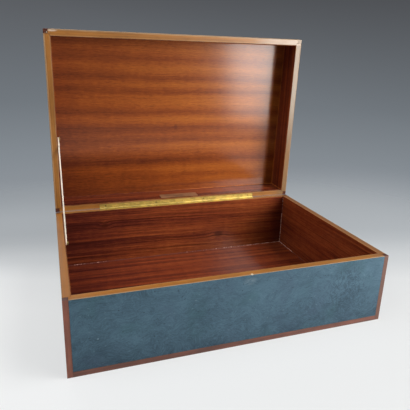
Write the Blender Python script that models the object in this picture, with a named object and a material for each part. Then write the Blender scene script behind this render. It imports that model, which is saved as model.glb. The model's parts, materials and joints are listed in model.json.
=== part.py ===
"""A hinged wooden box for papers and keepsakes, standing open.

Two shallow trays, a base and a lid, are joined at the back by one piano hinge.
A stay cord on the left wall stops the lid just short of upright.

X runs along the front to the right, Y to the back and Z up. The origin is the
centre of the underside. Lengths are in metres.

Both trays are drawn closed, rim to rim. The lid hangs on an empty on the hinge
axis, and that empty is turned to open it.
"""

import math

import bmesh
import bpy
from mathutils import Matrix, Vector

# Overall sizes
BOX_WIDTH = 0.400
BOX_DEPTH = 0.267
BASE_HEIGHT = 0.093
LID_HEIGHT = 0.0436
SEAM_GAP = 0.0005
LID_OPEN_ANGLE = math.radians(88.2)

# Walls, from the outside in
VENEER_THICKNESS = 0.0006
BOARD_THICKNESS = 0.0078
LINING_THICKNESS = 0.0006
JOINT_GAP = 0.0003
FLOOR_PANEL_THICKNESS = 0.004
TOP_PANEL_THICKNESS = 0.004

# Mahogany strips round the outside
STRIP_WIDTH = 0.006
EDGE_STRIP_HEIGHT = 0.0065
EDGE_ROUND = 0.0003
EDGE_ROUND_STEPS = 2

# Piano hinge
HINGE_LENGTH = 0.266
LEAF_REACH = 0.007
LEAF_THICKNESS = 0.0006
PIN_RADIUS = 0.0006
PIN_CLEARANCE = 0.0003
PIN_INSIDE_BACK = 0.00015
KNUCKLE_COUNT = 21
KNUCKLE_GAP = 0.0003
KNUCKLE_STEPS = 16

# Hinge screws
SCREWS_PER_LEAF = 4
SCREW_END_MARGIN = 0.0092
SCREW_FROM_BACK = 0.0042
SCREW_HEAD_RADIUS = 0.0015
SCREW_SHANK_RADIUS = 0.0009
SCREW_LENGTH = 0.009
SCREW_TIP = 0.002
SCREW_SINK = 0.0001
SLOT_WIDTH = 0.0005
SLOT_DEPTH = 0.0003

# Stay cord and its two round-head screws
STAY_DIAMETER = 0.0022
STAY_BASE_FROM_BACK = 0.100
STAY_BASE_DROP = 0.010
STAY_LID_FROM_BACK = 0.113
STAY_LID_DROP = 0.008
STAY_CLEARANCE = 0.0003
STAY_EYE_TURN = math.radians(280)
STAY_EYE_STEPS = 18
STAY_POINT_SPACING = 0.0055
STAY_SCREW_SHANK_RADIUS = 0.0011
STAY_SCREW_HEAD_RADIUS = 0.0032
STAY_SCREW_HEAD_HEIGHT = 0.0015
STAY_SCREW_IN_WOOD = 0.0055
STAY_SCREW_TIP = 0.0015
STAY_SLOT_WIDTH = 0.0007
STAY_SLOT_DEPTH = 0.0007

# Blank plate inside the back of the lid
PLATE_WIDTH = 0.064
PLATE_HEIGHT = 0.0165
PLATE_THICKNESS = 0.0004
PLATE_FROM_RIM = 0.0008
PLATE_CORNER = 0.002
PLATE_CORNER_STEPS = 5

# How finely round pieces are drawn, and how far a cutter runs past a face
ROUND_STEPS = 20
DOME_STEPS = 4
OVERRUN = 0.002

# Worked out from the sizes above
LINING_INSET = VENEER_THICKNESS + JOINT_GAP + BOARD_THICKNESS + JOINT_GAP
WALL = LINING_INSET + LINING_THICKNESS
KNUCKLE_RADIUS = PIN_RADIUS + PIN_CLEARANCE + LEAF_THICKNESS
HINGE_AXIS = Vector((0, BOX_DEPTH / 2 - PIN_INSIDE_BACK, BASE_HEIGHT + SEAM_GAP / 2))
STAY_X = -BOX_WIDTH / 2 + WALL + STAY_CLEARANCE + STAY_DIAMETER / 2
STAY_EYE_RADIUS = STAY_SCREW_SHANK_RADIUS + STAY_CLEARANCE + STAY_DIAMETER / 2


class Tray:
    """One tray: its rim's height, the way it deepens from there, and its layers."""

    def __init__(self, name, rim, deepens, height, skin, panel, home, turn):
        self.name = name
        self.rim = rim
        self.deepens = deepens
        self.height = height
        self.panel_outer = height - skin
        self.panel_inner = self.panel_outer - panel
        self.sheet_outer = self.panel_inner - JOINT_GAP
        self.sheet_inner = self.sheet_outer - LINING_THICKNESS
        self.lining_depth = self.sheet_inner - JOINT_GAP
        self.home = home
        self.frame = bpy.data.objects.new(name + "_frame", None)
        self.frame.location = home
        self.frame.rotation_euler = (turn, 0, 0)
        bpy.context.collection.objects.link(self.frame)

    def z(self, depth):
        """Height, with the box closed, of what lies this deep behind the rim."""
        return self.rim + self.deepens * depth

    def seen_planes(self):
        """The tray's outer and inner faces along X, Y and Z, closed."""
        half_width = BOX_WIDTH / 2
        half_depth = BOX_DEPTH / 2
        return (
            (half_width, -half_width, half_width - WALL, WALL - half_width),
            (half_depth, -half_depth, half_depth - WALL, WALL - half_depth),
            (self.rim, self.z(self.height)),
        )


class Side:
    """One of the four walls: which way it runs and which way it faces."""

    def __init__(self, name, along_x, outward):
        self.name = name
        self.along_x = along_x
        self.outward = outward
        self.length = BOX_WIDTH if along_x else BOX_DEPTH
        self.face = (BOX_DEPTH if along_x else BOX_WIDTH) / 2

    def point(self, along, inset, z):
        """The point this far along the wall's middle and this far in from its face."""
        across = self.outward * (self.face - inset)
        return Vector((along, across, z)) if self.along_x else Vector((across, along, z))


SIDES = (
    Side("front", True, -1),
    Side("back", True, 1),
    Side("left", False, -1),
    Side("right", False, 1),
)
LEFT = SIDES[2]
BACK = SIDES[1]


def clear_scene():
    """Remove every object that the file opens with."""
    for old in list(bpy.data.objects):
        bpy.data.objects.remove(old, do_unlink=True)


def linear(value):
    """One 0 to 255 screen value as linear light."""
    share = value / 255
    return share / 12.92 if share <= 0.04045 else ((share + 0.055) / 1.055) ** 2.4


def material(name, seen_rgb, roughness, metallic=0.0):
    """A plain material from the colour seen in the photograph."""
    made = bpy.data.materials.new(name)
    made.use_nodes = True
    shader = made.node_tree.nodes["Principled BSDF"]
    shader.inputs["Base Color"].default_value = (*(linear(value) for value in seen_rgb), 1)
    shader.inputs["Roughness"].default_value = roughness
    shader.inputs["Metallic"].default_value = metallic
    return made


def carcase_wood():
    return material("carcase_wood", (165, 105, 45), 0.55)


def striped_lining():
    return material("striped_lining", (120, 58, 32), 0.35)


def blue_veneer():
    return material("blue_veneer", (72, 96, 114), 0.4)


def mahogany_strip():
    return material("mahogany_strip", (118, 74, 62), 0.4)


def hinge_brass():
    return material("hinge_brass", (214, 178, 98), 0.32, 1.0)


def screw_brass():
    return material("screw_brass", (196, 160, 92), 0.38, 1.0)


def pin_steel():
    return material("pin_steel", (150, 146, 140), 0.4, 1.0)


def stay_cotton():
    return material("stay_cotton", (232, 222, 206), 0.9)


def plate_metal():
    return material("plate_metal", (140, 112, 88), 0.5)


def prism(corners, travel):
    """A solid made by moving a flat outline along a straight line."""
    mesh = bmesh.new()
    outline = mesh.faces.new([mesh.verts.new(corner) for corner in corners])
    swept = bmesh.ops.extrude_face_region(mesh, geom=[outline])
    moved = [item for item in swept["geom"] if isinstance(item, bmesh.types.BMVert)]
    bmesh.ops.translate(mesh, vec=travel, verts=moved)
    bmesh.ops.recalc_face_normals(mesh, faces=mesh.faces)
    return mesh


def turned(profile):
    """A solid turned about Z from a profile of (radius, height) points that ends on Z."""
    mesh = bmesh.new()
    points = [mesh.verts.new((radius, 0, height)) for radius, height in profile]
    edges = [mesh.edges.new(pair) for pair in zip(points, points[1:])]
    bmesh.ops.spin(
        mesh, geom=edges, cent=(0, 0, 0), axis=(0, 0, 1), angle=math.tau, steps=ROUND_STEPS,
    )
    bmesh.ops.remove_doubles(mesh, verts=mesh.verts, dist=PIN_RADIUS / ROUND_STEPS**2)
    bmesh.ops.recalc_face_normals(mesh, faces=mesh.faces)
    return mesh


def ease_seen_edges(mesh, planes):
    """Round the edges where two of the tray's seen faces meet."""
    near = EDGE_ROUND / 2

    def on(vertex):
        return {
            (axis, number)
            for axis, levels in enumerate(planes)
            for number, level in enumerate(levels)
            if abs(vertex.co[axis] - level) < near
        }

    edges = [e for e in mesh.edges if len(on(e.verts[0]) & on(e.verts[1])) > 1]
    if edges:
        bmesh.ops.bevel(
            mesh, geom=edges, offset=EDGE_ROUND, offset_type="OFFSET", affect="EDGES",
            segments=EDGE_ROUND_STEPS, profile=0.5, clamp_overlap=True,
        )


def place(name, mesh, tray, finish, centre, turn=(0, 0, 0)):
    """Put a mesh, drawn about its own origin, in its place on a tray."""
    data = bpy.data.meshes.new(name)
    mesh.to_mesh(data)
    mesh.free()
    data.shade_smooth()
    data.set_sharp_from_angle(angle=math.radians(30))
    if finish:
        data.materials.append(finish)
    made = bpy.data.objects.new(name, data)
    bpy.context.collection.objects.link(made)
    made.parent = tray.frame
    made.location = centre - tray.home
    made.rotation_euler = turn
    return made


def place_closed(name, mesh, tray, finish):
    """Place a mesh drawn in the closed box, with its origin at its own middle."""
    reach = [[vertex.co[axis] for vertex in mesh.verts] for axis in range(3)]
    centre = Vector([(min(values) + max(values)) / 2 for values in reach])
    bmesh.ops.translate(mesh, vec=-centre, verts=mesh.verts)
    return place(name, mesh, tray, finish, centre)


def cut(target, cutter):
    """Cut one solid out of another and keep the cutter as a hidden guide."""
    cutter.hide_render = True
    cutter.display_type = "WIRE"
    step = target.modifiers.new(cutter.name, "BOOLEAN")
    step.operation = "DIFFERENCE"
    step.solver = "EXACT"
    step.object = cutter


def rectangle(inset0, inset1, depth0, depth1):
    """A wall piece's section, as (inset from the outer face, depth behind the rim)."""
    return ((inset0, depth0), (inset1, depth0), (inset1, depth1), (inset0, depth1))


def wall_mesh(tray, side, start, end, section):
    """A section run along a wall between two places along it."""
    corners = [side.point(start, inset, tray.z(depth)) for inset, depth in section]
    return prism(corners, side.point(end, 0, 0) - side.point(start, 0, 0))


def wall_piece(name, tray, side, end_inset, section, finish):
    """A piece that runs along a wall and stops short of both corners."""
    half = side.length / 2 - end_inset
    mesh = wall_mesh(tray, side, -half, half, section)
    ease_seen_edges(mesh, tray.seen_planes())
    return place_closed(name, mesh, tray, finish)


def wall_cutter(name, tray, side, start, end, section):
    return place_closed(name, wall_mesh(tray, side, start, end, section), tray, None)


def board_section(tray):
    """A carcase board: a plank, rebated at its outer edge for the mahogany strip."""
    outer = VENEER_THICKNESS + JOINT_GAP
    inner = outer + BOARD_THICKNESS
    foot = STRIP_WIDTH + JOINT_GAP
    shoulder = tray.height - EDGE_STRIP_HEIGHT - JOINT_GAP
    return (
        (outer, 0),
        (inner, 0),
        (inner, tray.panel_outer),
        (foot, tray.panel_outer),
        (foot, shoulder),
        (outer, shoulder),
    )


def board(tray, side, finish):
    """A carcase board. The long ones are notched at their ends for the short ones."""
    word = "_board" if tray.deepens < 0 else "_rail"
    name = f"{tray.name}_{side.name}{word}"
    strip_end = STRIP_WIDTH + JOINT_GAP
    made = wall_piece(name, tray, side, strip_end, board_section(tray), finish)
    if side.along_x:
        notch = rectangle(STRIP_WIDTH, LINING_INSET, -OVERRUN, tray.height + OVERRUN)
        half = side.length / 2
        for end in (-1, 1):
            start = end * (half - LINING_INSET)
            stop = end * (half + OVERRUN)
            end_name = f"{name}_notch_{'left' if end < 0 else 'right'}"
            cut(made, wall_cutter(end_name, tray, side, start, stop, notch))
    return made


def lining(tray, side, finish):
    """The striped sheet on a wall's inner face, from the rim to the floor sheet."""
    end_inset = LINING_INSET if side.along_x else WALL + JOINT_GAP
    section = rectangle(LINING_INSET, WALL, 0, tray.lining_depth)
    return wall_piece(f"{tray.name}_{side.name}_lining", tray, side, end_inset, section, finish)


def veneer(tray, side, finish):
    """The blue veneer on a wall's outer face, framed by the strips."""
    depth = tray.height - EDGE_STRIP_HEIGHT - JOINT_GAP
    section = rectangle(0, VENEER_THICKNESS, 0, depth)
    end_inset = STRIP_WIDTH + JOINT_GAP
    return wall_piece(f"{tray.name}_{side.name}_veneer", tray, side, end_inset, section, finish)


def edge_strip(tray, side, finish):
    """The mahogany strip let into the long edge away from the rim."""
    section = rectangle(0, STRIP_WIDTH, tray.height - EDGE_STRIP_HEIGHT, tray.height)
    end_inset = STRIP_WIDTH + JOINT_GAP
    name = f"{tray.name}_{side.name}_edge_strip"
    return wall_piece(name, tray, side, end_inset, section, finish)


def flat_mesh(tray, x_range, y_range, depth0, depth1):
    """A block with its faces square to X, Y and Z."""
    z = tray.z(depth0)
    corners = [
        Vector((x_range[0], y_range[0], z)),
        Vector((x_range[1], y_range[0], z)),
        Vector((x_range[1], y_range[1], z)),
        Vector((x_range[0], y_range[1], z)),
    ]
    return prism(corners, Vector((0, 0, tray.z(depth1) - z)))


def corner_strip(tray, x_end, y_end, finish):
    """The mahogany strip that stands in one corner for the tray's full height."""
    x_range = (x_end * (BOX_WIDTH / 2 - STRIP_WIDTH), x_end * BOX_WIDTH / 2)
    y_range = (y_end * (BOX_DEPTH / 2 - STRIP_WIDTH), y_end * BOX_DEPTH / 2)
    mesh = flat_mesh(tray, x_range, y_range, 0, tray.height)
    ease_seen_edges(mesh, tray.seen_planes())
    where = ("front" if y_end < 0 else "back") + ("_left" if x_end < 0 else "_right")
    return place_closed(f"{tray.name}_{where}_corner_strip", mesh, tray, finish)


def sheet(name, tray, inset, depth0, depth1, finish):
    """A flat sheet that lies across the tray, this far in from its outer faces."""
    half_x = BOX_WIDTH / 2 - inset
    half_y = BOX_DEPTH / 2 - inset
    mesh = flat_mesh(tray, (-half_x, half_x), (-half_y, half_y), depth0, depth1)
    ease_seen_edges(mesh, tray.seen_planes())
    return place_closed(name, mesh, tray, finish)


def build_tray(tray, panel_name, sheet_name, wood, striped, blue, strip):
    """Everything wooden in one tray. Returns its boards, linings and veneers by wall."""
    boards = {side.name: board(tray, side, wood) for side in SIDES}
    linings = {side.name: lining(tray, side, striped) for side in SIDES}
    veneers = {side.name: veneer(tray, side, blue) for side in SIDES}
    for side in SIDES:
        edge_strip(tray, side, strip)
    for x_end in (-1, 1):
        for y_end in (-1, 1):
            corner_strip(tray, x_end, y_end, strip)
    sheet(panel_name, tray, LINING_INSET, tray.panel_inner, tray.panel_outer, wood)
    sheet(sheet_name, tray, LINING_INSET, tray.sheet_inner, tray.sheet_outer, striped)
    return boards, linings, veneers


def hinge_point(tray, x, back, deep):
    """A point by its distance behind the pin and its depth into one tray."""
    return (x, HINGE_AXIS.y + back, HINGE_AXIS.z + tray.deepens * deep)


def knuckle_outline():
    """The leaf's rolled edge, as (behind the pin, depth), from its deep face round the pin."""
    inner = PIN_RADIUS + PIN_CLEARANCE
    seam_face = SEAM_GAP / 2
    deep_face = seam_face + LEAF_THICKNESS
    start = math.asin(deep_face / KNUCKLE_RADIUS)
    end = math.tau - math.asin(JOINT_GAP / KNUCKLE_RADIUS)
    inner_start = math.asin(seam_face / inner)

    def arc(radius, first, last):
        for step in range(KNUCKLE_STEPS + 1):
            angle = first + (last - first) * step / KNUCKLE_STEPS
            yield -radius * math.cos(angle), radius * math.sin(angle)

    return [*arc(KNUCKLE_RADIUS, start, end), *arc(inner, end, inner_start)]


def hinge_leaf(tray, first_knuckle, finish):
    """A flat strip whose back edge is rolled round the pin at every second knuckle."""
    mesh = bmesh.new()
    seam_face = SEAM_GAP / 2
    deep_face = seam_face + LEAF_THICKNESS
    far = PIN_INSIDE_BACK - LEAF_REACH
    near = -KNUCKLE_RADIUS - JOINT_GAP
    flat = ((far, seam_face), (far, deep_face), (near, deep_face), (near, seam_face))
    pitch = HINGE_LENGTH / KNUCKLE_COUNT
    starts = [-HINGE_LENGTH / 2 + pitch * n for n in range(first_knuckle, KNUCKLE_COUNT, 2)]
    spans = [(x + KNUCKLE_GAP / 2, x + pitch - KNUCKLE_GAP / 2) for x in starts]
    stations = sorted({-HINGE_LENGTH / 2, HINGE_LENGTH / 2, *(x for span in spans for x in span)})
    rings = [[mesh.verts.new(hinge_point(tray, x, *place)) for place in flat] for x in stations]
    mesh.faces.new(rings[0])
    mesh.faces.new(rings[-1])
    own = {stations.index(start) for start, _ in spans}
    for number, (one, two) in enumerate(zip(rings, rings[1:])):
        for corner in range(len(flat)):
            after = (corner + 1) % len(flat)
            rolled = corner == 2 and number in own
            if not rolled:
                mesh.faces.new((one[corner], one[after], two[after], two[corner]))
        if number in own:
            roll_knuckle(mesh, tray, stations[number:number + 2], one, two)
    bmesh.ops.recalc_face_normals(mesh, faces=mesh.faces)
    made = place_closed(f"hinge_{tray.name}_leaf", mesh, tray, finish)
    for number, x in enumerate(screw_places()):
        hole = turned(countersink_profile())
        name = f"{made.name}_hole_{number + 1}"
        cut(made, place(name, hole, tray, None, screw_seat(tray, x), screw_turn(tray)))
    return made


def roll_knuckle(mesh, tray, span, one, two):
    """Close one knuckle on to the leaf's back edge between two stations."""
    outline = knuckle_outline()
    loops = []
    for x, ring in zip(span, (one, two)):
        rolled = [mesh.verts.new(hinge_point(tray, x, *place)) for place in outline]
        loops.append([ring[2], *rolled, ring[3]])
    for loop in loops:
        mesh.faces.new(loop)
    for (a, b), (c, d) in zip(zip(*loops), zip(*[loop[1:] for loop in loops])):
        mesh.faces.new((a, b, d, c))


def screw_places():
    """The places of one leaf's screws along the hinge."""
    first = -HINGE_LENGTH / 2 + SCREW_END_MARGIN
    step = -2 * first / (SCREWS_PER_LEAF - 1)
    return [first + step * number for number in range(SCREWS_PER_LEAF)]


def screw_seat(tray, x):
    """The middle of a hinge screw's head, on the leaf's seam face."""
    return Vector((x, BOX_DEPTH / 2 - SCREW_FROM_BACK, tray.rim))


def screw_turn(tray):
    """Heads look out of the rim: up from the base, down from the closed lid."""
    return (0, 0, 0) if tray.deepens < 0 else (math.pi, 0, 0)


def countersink_profile():
    """A cone that clears the screw's head, and a hole that clears its shank."""
    clear = JOINT_GAP * math.sqrt(2)
    wide = SCREW_HEAD_RADIUS + clear + OVERRUN
    narrow = SCREW_SHANK_RADIUS + JOINT_GAP
    cone = wide - narrow
    return ((0, OVERRUN), (wide, OVERRUN), (narrow, OVERRUN - cone), (narrow, -SCREW_LENGTH),
            (0, -SCREW_LENGTH))


def countersunk_profile():
    """A countersunk head, a plain shank and a point."""
    top = -SCREW_SINK
    cone = SCREW_HEAD_RADIUS - SCREW_SHANK_RADIUS
    return ((0, top), (SCREW_HEAD_RADIUS, top), (SCREW_SHANK_RADIUS, top - cone),
            (SCREW_SHANK_RADIUS, SCREW_TIP - SCREW_LENGTH), (0, -SCREW_LENGTH))


def cut_slot(screw, tray, top, radius, width, depth, seat, turn):
    """Cut a screwdriver's slot across a head, along the screw's own X."""
    reach = radius + OVERRUN
    corners = [
        Vector((-reach, -width / 2, top - depth)),
        Vector((reach, -width / 2, top - depth)),
        Vector((reach, width / 2, top - depth)),
        Vector((-reach, width / 2, top - depth)),
    ]
    cutter = prism(corners, Vector((0, 0, depth + OVERRUN)))
    cut(screw, place(f"{screw.name}_slot", cutter, tray, None, seat, turn))


def hinge_screw(tray, number, x, finish):
    """One countersunk screw through a leaf."""
    seat = screw_seat(tray, x)
    turn = screw_turn(tray)
    name = f"hinge_{tray.name}_screw_{number + 1}"
    made = place(name, turned(countersunk_profile()), tray, finish, seat, turn)
    cut_slot(made, tray, -SCREW_SINK, SCREW_HEAD_RADIUS, SLOT_WIDTH, SLOT_DEPTH, seat, turn)
    return made


def hinge_pin(tray, finish):
    """The wire that both leaves turn on."""
    half = HINGE_LENGTH / 2
    mesh = turned(((0, half), (PIN_RADIUS, half), (PIN_RADIUS, -half), (0, -half)))
    return place("hinge_pin", mesh, tray, finish, HINGE_AXIS, (0, math.pi / 2, 0))


def let_in_hinge(tray, back_board, back_veneer):
    """Sink the back rim for the leaf, the knuckles and the screws."""
    half = HINGE_LENGTH / 2 + JOINT_GAP
    bed = rectangle(-OVERRUN, LEAF_REACH + JOINT_GAP, -OVERRUN, LEAF_THICKNESS + JOINT_GAP)
    radius = KNUCKLE_RADIUS + JOINT_GAP
    for target in (back_board, back_veneer):
        cut(target, wall_cutter(f"{target.name}_leaf_bed", tray, BACK, -half, half, bed))
        groove = turned(((0, half), (radius, half), (radius, -half), (0, -half)))
        turn = (0, math.pi / 2, 0)
        name = f"{target.name}_knuckle_groove"
        cut(target, place(name, groove, tray, None, HINGE_AXIS, turn))
    for number, x in enumerate(screw_places()):
        radius = SCREW_SHANK_RADIUS + JOINT_GAP
        bottom = -SCREW_LENGTH - JOINT_GAP
        hole = turned(((0, OVERRUN), (radius, OVERRUN), (radius, bottom), (0, bottom)))
        name = f"{back_board.name}_pilot_{number + 1}"
        cut(back_board, place(name, hole, tray, None, screw_seat(tray, x), screw_turn(tray)))


def stay_anchor(tray):
    """Where the stay's screw meets the left lining, with the box closed."""
    if tray.deepens < 0:
        from_back, drop = STAY_BASE_FROM_BACK, STAY_BASE_DROP
    else:
        from_back, drop = STAY_LID_FROM_BACK, STAY_LID_DROP
    return LEFT.point(BOX_DEPTH / 2 - from_back, WALL, tray.z(drop))


def stay_screw_profile():
    """A domed head, a shank that carries the cord's eye, and a point in the board."""
    under_head = STAY_DIAMETER + 2 * STAY_CLEARANCE
    in_wall = LINING_THICKNESS + JOINT_GAP + STAY_SCREW_IN_WOOD
    dome = []
    for step in range(DOME_STEPS + 1):
        angle = math.pi / 2 * (1 - step / DOME_STEPS)
        radius = STAY_SCREW_HEAD_RADIUS * math.cos(angle)
        dome.append((radius, under_head + STAY_SCREW_HEAD_HEIGHT * math.sin(angle)))
    shank = STAY_SCREW_SHANK_RADIUS
    dome[0] = (0, under_head + STAY_SCREW_HEAD_HEIGHT)
    return (*dome, (shank, under_head), (shank, STAY_SCREW_TIP - in_wall), (0, -in_wall))


def stay_screw(tray, left_board, left_lining, finish):
    """The stay's screw on one tray, and its holes in the lining and the board."""
    seat = stay_anchor(tray)
    turn = (0, math.pi / 2, 0)
    mesh = turned(stay_screw_profile())
    made = place(f"stay_screw_{tray.name}", mesh, tray, finish, seat, turn)
    top = STAY_DIAMETER + 2 * STAY_CLEARANCE + STAY_SCREW_HEAD_HEIGHT
    cut_slot(made, tray, top, STAY_SCREW_HEAD_RADIUS, STAY_SLOT_WIDTH, STAY_SLOT_DEPTH, seat, turn)
    radius = STAY_SCREW_SHANK_RADIUS + JOINT_GAP
    bottom = -LINING_THICKNESS - 2 * JOINT_GAP - STAY_SCREW_IN_WOOD
    for target in (left_board, left_lining):
        hole = turned(((0, OVERRUN), (radius, OVERRUN), (radius, bottom), (0, bottom)))
        cut(target, place(f"{target.name}_stay_hole", hole, tray, None, seat, turn))
    return made


def opened(point):
    """A point of the closed lid, where the open lid has it."""
    return HINGE_AXIS + Matrix.Rotation(-LID_OPEN_ANGLE, 3, "X") @ (point - HINGE_AXIS)


def stay_route(base_tray, lid_tray):
    """The taut cord: an eye round the base's screw, a straight run, an eye round the lid's."""
    low = stay_anchor(base_tray)
    high = opened(stay_anchor(lid_tray))
    low.x = STAY_X
    high.x = STAY_X
    run = high - low
    along = run.normalized()
    aside = Vector((0, along.z, -along.y))

    def eye(centre, way):
        for step in range(STAY_EYE_STEPS + 1):
            angle = STAY_EYE_TURN * (1 - step / STAY_EYE_STEPS)
            offset = aside * math.cos(angle) - along * way * math.sin(angle)
            yield centre + offset * STAY_EYE_RADIUS

    lower_eye = list(eye(low, 1))
    upper_eye = list(eye(high, -1))
    count = round(run.length / STAY_POINT_SPACING)
    straight = [lower_eye[-1] + run * step / count for step in range(1, count)]
    return lower_eye + straight + upper_eye[::-1]


def stay_cord(base_tray, lid_tray, finish):
    """The cord as one round tube with closed ends."""
    curve = bpy.data.curves.new("stay_cord", "CURVE")
    curve.dimensions = "3D"
    curve.bevel_depth = STAY_DIAMETER / 2
    curve.bevel_resolution = 2
    curve.use_fill_caps = True
    curve.materials.append(finish)
    route = stay_route(base_tray, lid_tray)
    start = route[0].copy()
    spline = curve.splines.new("POLY")
    spline.points.add(len(route) - 1)
    for point, place_on_route in zip(spline.points, route):
        point.co = (*(place_on_route - start), 1)
    made = bpy.data.objects.new("stay_cord", curve)
    made.location = start
    bpy.context.collection.objects.link(made)
    return made


def blank_plate(tray, finish):
    """A small bare plate with round corners, on the back lining near the rim."""
    half = PLATE_WIDTH / 2
    near = PLATE_FROM_RIM
    far = near + PLATE_HEIGHT
    middles = (
        (half - PLATE_CORNER, far - PLATE_CORNER),
        (PLATE_CORNER - half, far - PLATE_CORNER),
        (PLATE_CORNER - half, near + PLATE_CORNER),
        (half - PLATE_CORNER, near + PLATE_CORNER),
    )
    corners = []
    inset = WALL + JOINT_GAP
    for quarter, (x, depth) in enumerate(middles):
        for step in range(PLATE_CORNER_STEPS + 1):
            angle = math.pi / 2 * (quarter + step / PLATE_CORNER_STEPS)
            along = x + PLATE_CORNER * math.cos(angle)
            deep = depth + PLATE_CORNER * math.sin(angle)
            corners.append(BACK.point(along, inset, tray.z(deep)))
    travel = BACK.point(0, PLATE_THICKNESS, 0) - BACK.point(0, 0, 0)
    return place_closed(f"{tray.name}_blank_plate", prism(corners, travel), tray, finish)


def build_hinge(trays, walls):
    """The pin, both leaves and their screws, let into the two back rims."""
    brass = hinge_brass()
    screws = screw_brass()
    hinge_pin(trays[0], pin_steel())
    for first_knuckle, tray in enumerate(trays):
        boards, _, veneers = walls[tray.name]
        let_in_hinge(tray, boards["back"], veneers["back"])
        hinge_leaf(tray, first_knuckle, brass)
        for number, x in enumerate(screw_places()):
            hinge_screw(tray, number, x, screws)


def build_stay(trays, walls):
    """The stay's two screws and the cord between them."""
    metal = screw_brass()
    for tray in trays:
        boards, linings, _ = walls[tray.name]
        stay_screw(tray, boards["left"], linings["left"], metal)
    stay_cord(*trays, stay_cotton())


def main():
    clear_scene()
    base = Tray("base", BASE_HEIGHT, -1, BASE_HEIGHT, 0, FLOOR_PANEL_THICKNESS, Vector(), 0)
    skin = VENEER_THICKNESS + JOINT_GAP
    lid_rim = BASE_HEIGHT + SEAM_GAP
    lid = Tray(
        "lid", lid_rim, 1, LID_HEIGHT, skin, TOP_PANEL_THICKNESS, HINGE_AXIS, -LID_OPEN_ANGLE,
    )
    woods = (carcase_wood(), striped_lining(), blue_veneer(), mahogany_strip())
    walls = {
        "base": build_tray(base, "base_floor_panel", "base_floor_lining", *woods),
        "lid": build_tray(lid, "lid_top_panel", "lid_top_lining", *woods),
    }
    veneer_inset = STRIP_WIDTH + JOINT_GAP
    top_depth = lid.height - VENEER_THICKNESS
    sheet("lid_top_veneer", lid, veneer_inset, top_depth, lid.height, woods[2])
    build_hinge((base, lid), walls)
    build_stay((base, lid), walls)
    blank_plate(lid, plate_metal())


main()
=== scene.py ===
"""The looks of a hinged wooden box for papers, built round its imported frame.

The frame gives every solid at its real place, with the lid open. This file adds the
woods, the blue veneer, the brass and the stay cord, and the studio round the box.
Lengths are in metres. "Closed" places are those of the box with its lid shut.
"""

import json
import math

import bpy
import numpy as np
from mathutils import Matrix, Vector


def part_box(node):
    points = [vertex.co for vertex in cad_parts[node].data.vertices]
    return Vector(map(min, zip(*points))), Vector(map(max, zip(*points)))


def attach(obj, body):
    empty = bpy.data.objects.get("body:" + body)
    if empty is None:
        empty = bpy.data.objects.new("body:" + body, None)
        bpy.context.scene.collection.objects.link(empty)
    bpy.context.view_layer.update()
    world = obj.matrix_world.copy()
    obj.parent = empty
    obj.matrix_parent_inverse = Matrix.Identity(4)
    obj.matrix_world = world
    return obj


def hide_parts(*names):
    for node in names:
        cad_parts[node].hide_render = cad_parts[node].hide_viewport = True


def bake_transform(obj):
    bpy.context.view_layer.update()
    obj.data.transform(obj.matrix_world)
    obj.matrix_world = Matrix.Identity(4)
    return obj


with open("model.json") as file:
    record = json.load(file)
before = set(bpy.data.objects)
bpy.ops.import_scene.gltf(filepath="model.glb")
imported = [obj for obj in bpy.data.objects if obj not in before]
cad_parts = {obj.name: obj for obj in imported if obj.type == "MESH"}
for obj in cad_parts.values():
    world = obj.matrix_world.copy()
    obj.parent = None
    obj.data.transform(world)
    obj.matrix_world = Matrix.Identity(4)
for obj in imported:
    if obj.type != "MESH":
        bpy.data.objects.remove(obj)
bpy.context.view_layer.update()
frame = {"nodes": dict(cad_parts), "record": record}

bl_info = {
    "name": "Hinged paper box",
    "version": (1, 0, 0),
    "blender": (4, 5, 0),
    "location": "3D View > Sidebar > Paper box",
    "description": "Dresses a hinged wooden box: striped lining, blue veneer, brass hinge, stay cord",
    "category": "Object",
}

# The hinge, and the turn that shuts the open lid
JOINT = frame["record"]["behaviour"]["joints"][0]
HINGE = Vector(JOINT["pos_m"])
OPEN_ANGLE = math.radians(JOINT["range_deg"][1])
SHUT = Matrix.Translation(HINGE) @ Matrix.Rotation(OPEN_ANGLE, 4, "X") @ Matrix.Translation(-HINGE)
OPEN = SHUT.inverted()
BODY_SHUT = {"base": Matrix.Identity(4), "lid": SHUT}
BODY_OPEN = {"base": Matrix.Identity(4), "lid": OPEN}


def node_points(node):
    """A solid's corner points, one in each row."""
    vertices = frame["nodes"][node].data.vertices
    points = np.empty(len(vertices) * 3)
    vertices.foreach_get("co", points)
    return points.reshape(-1, 3)


def turned_points(points, matrix):
    """Points carried by a rigid turn."""
    turn = np.array(matrix)
    return points @ turn[:3, :3].T + turn[:3, 3]


def closed_span(node):
    """A solid's lowest and highest corners, with the box shut."""
    points = turned_points(node_points(node), BODY_SHUT["lid" if "lid" in node else "base"])
    return points.min(axis=0).tolist(), points.max(axis=0).tolist()


def seen(red, green, blue):
    """A colour as seen on a screen, 0 to 255, as linear light."""
    shares = np.array((red, green, blue)) / 255
    light = np.where(shares <= 0.04045, shares / 12.92, ((shares + 0.055) / 1.055) ** 2.4)
    return tuple(light.tolist())


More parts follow.
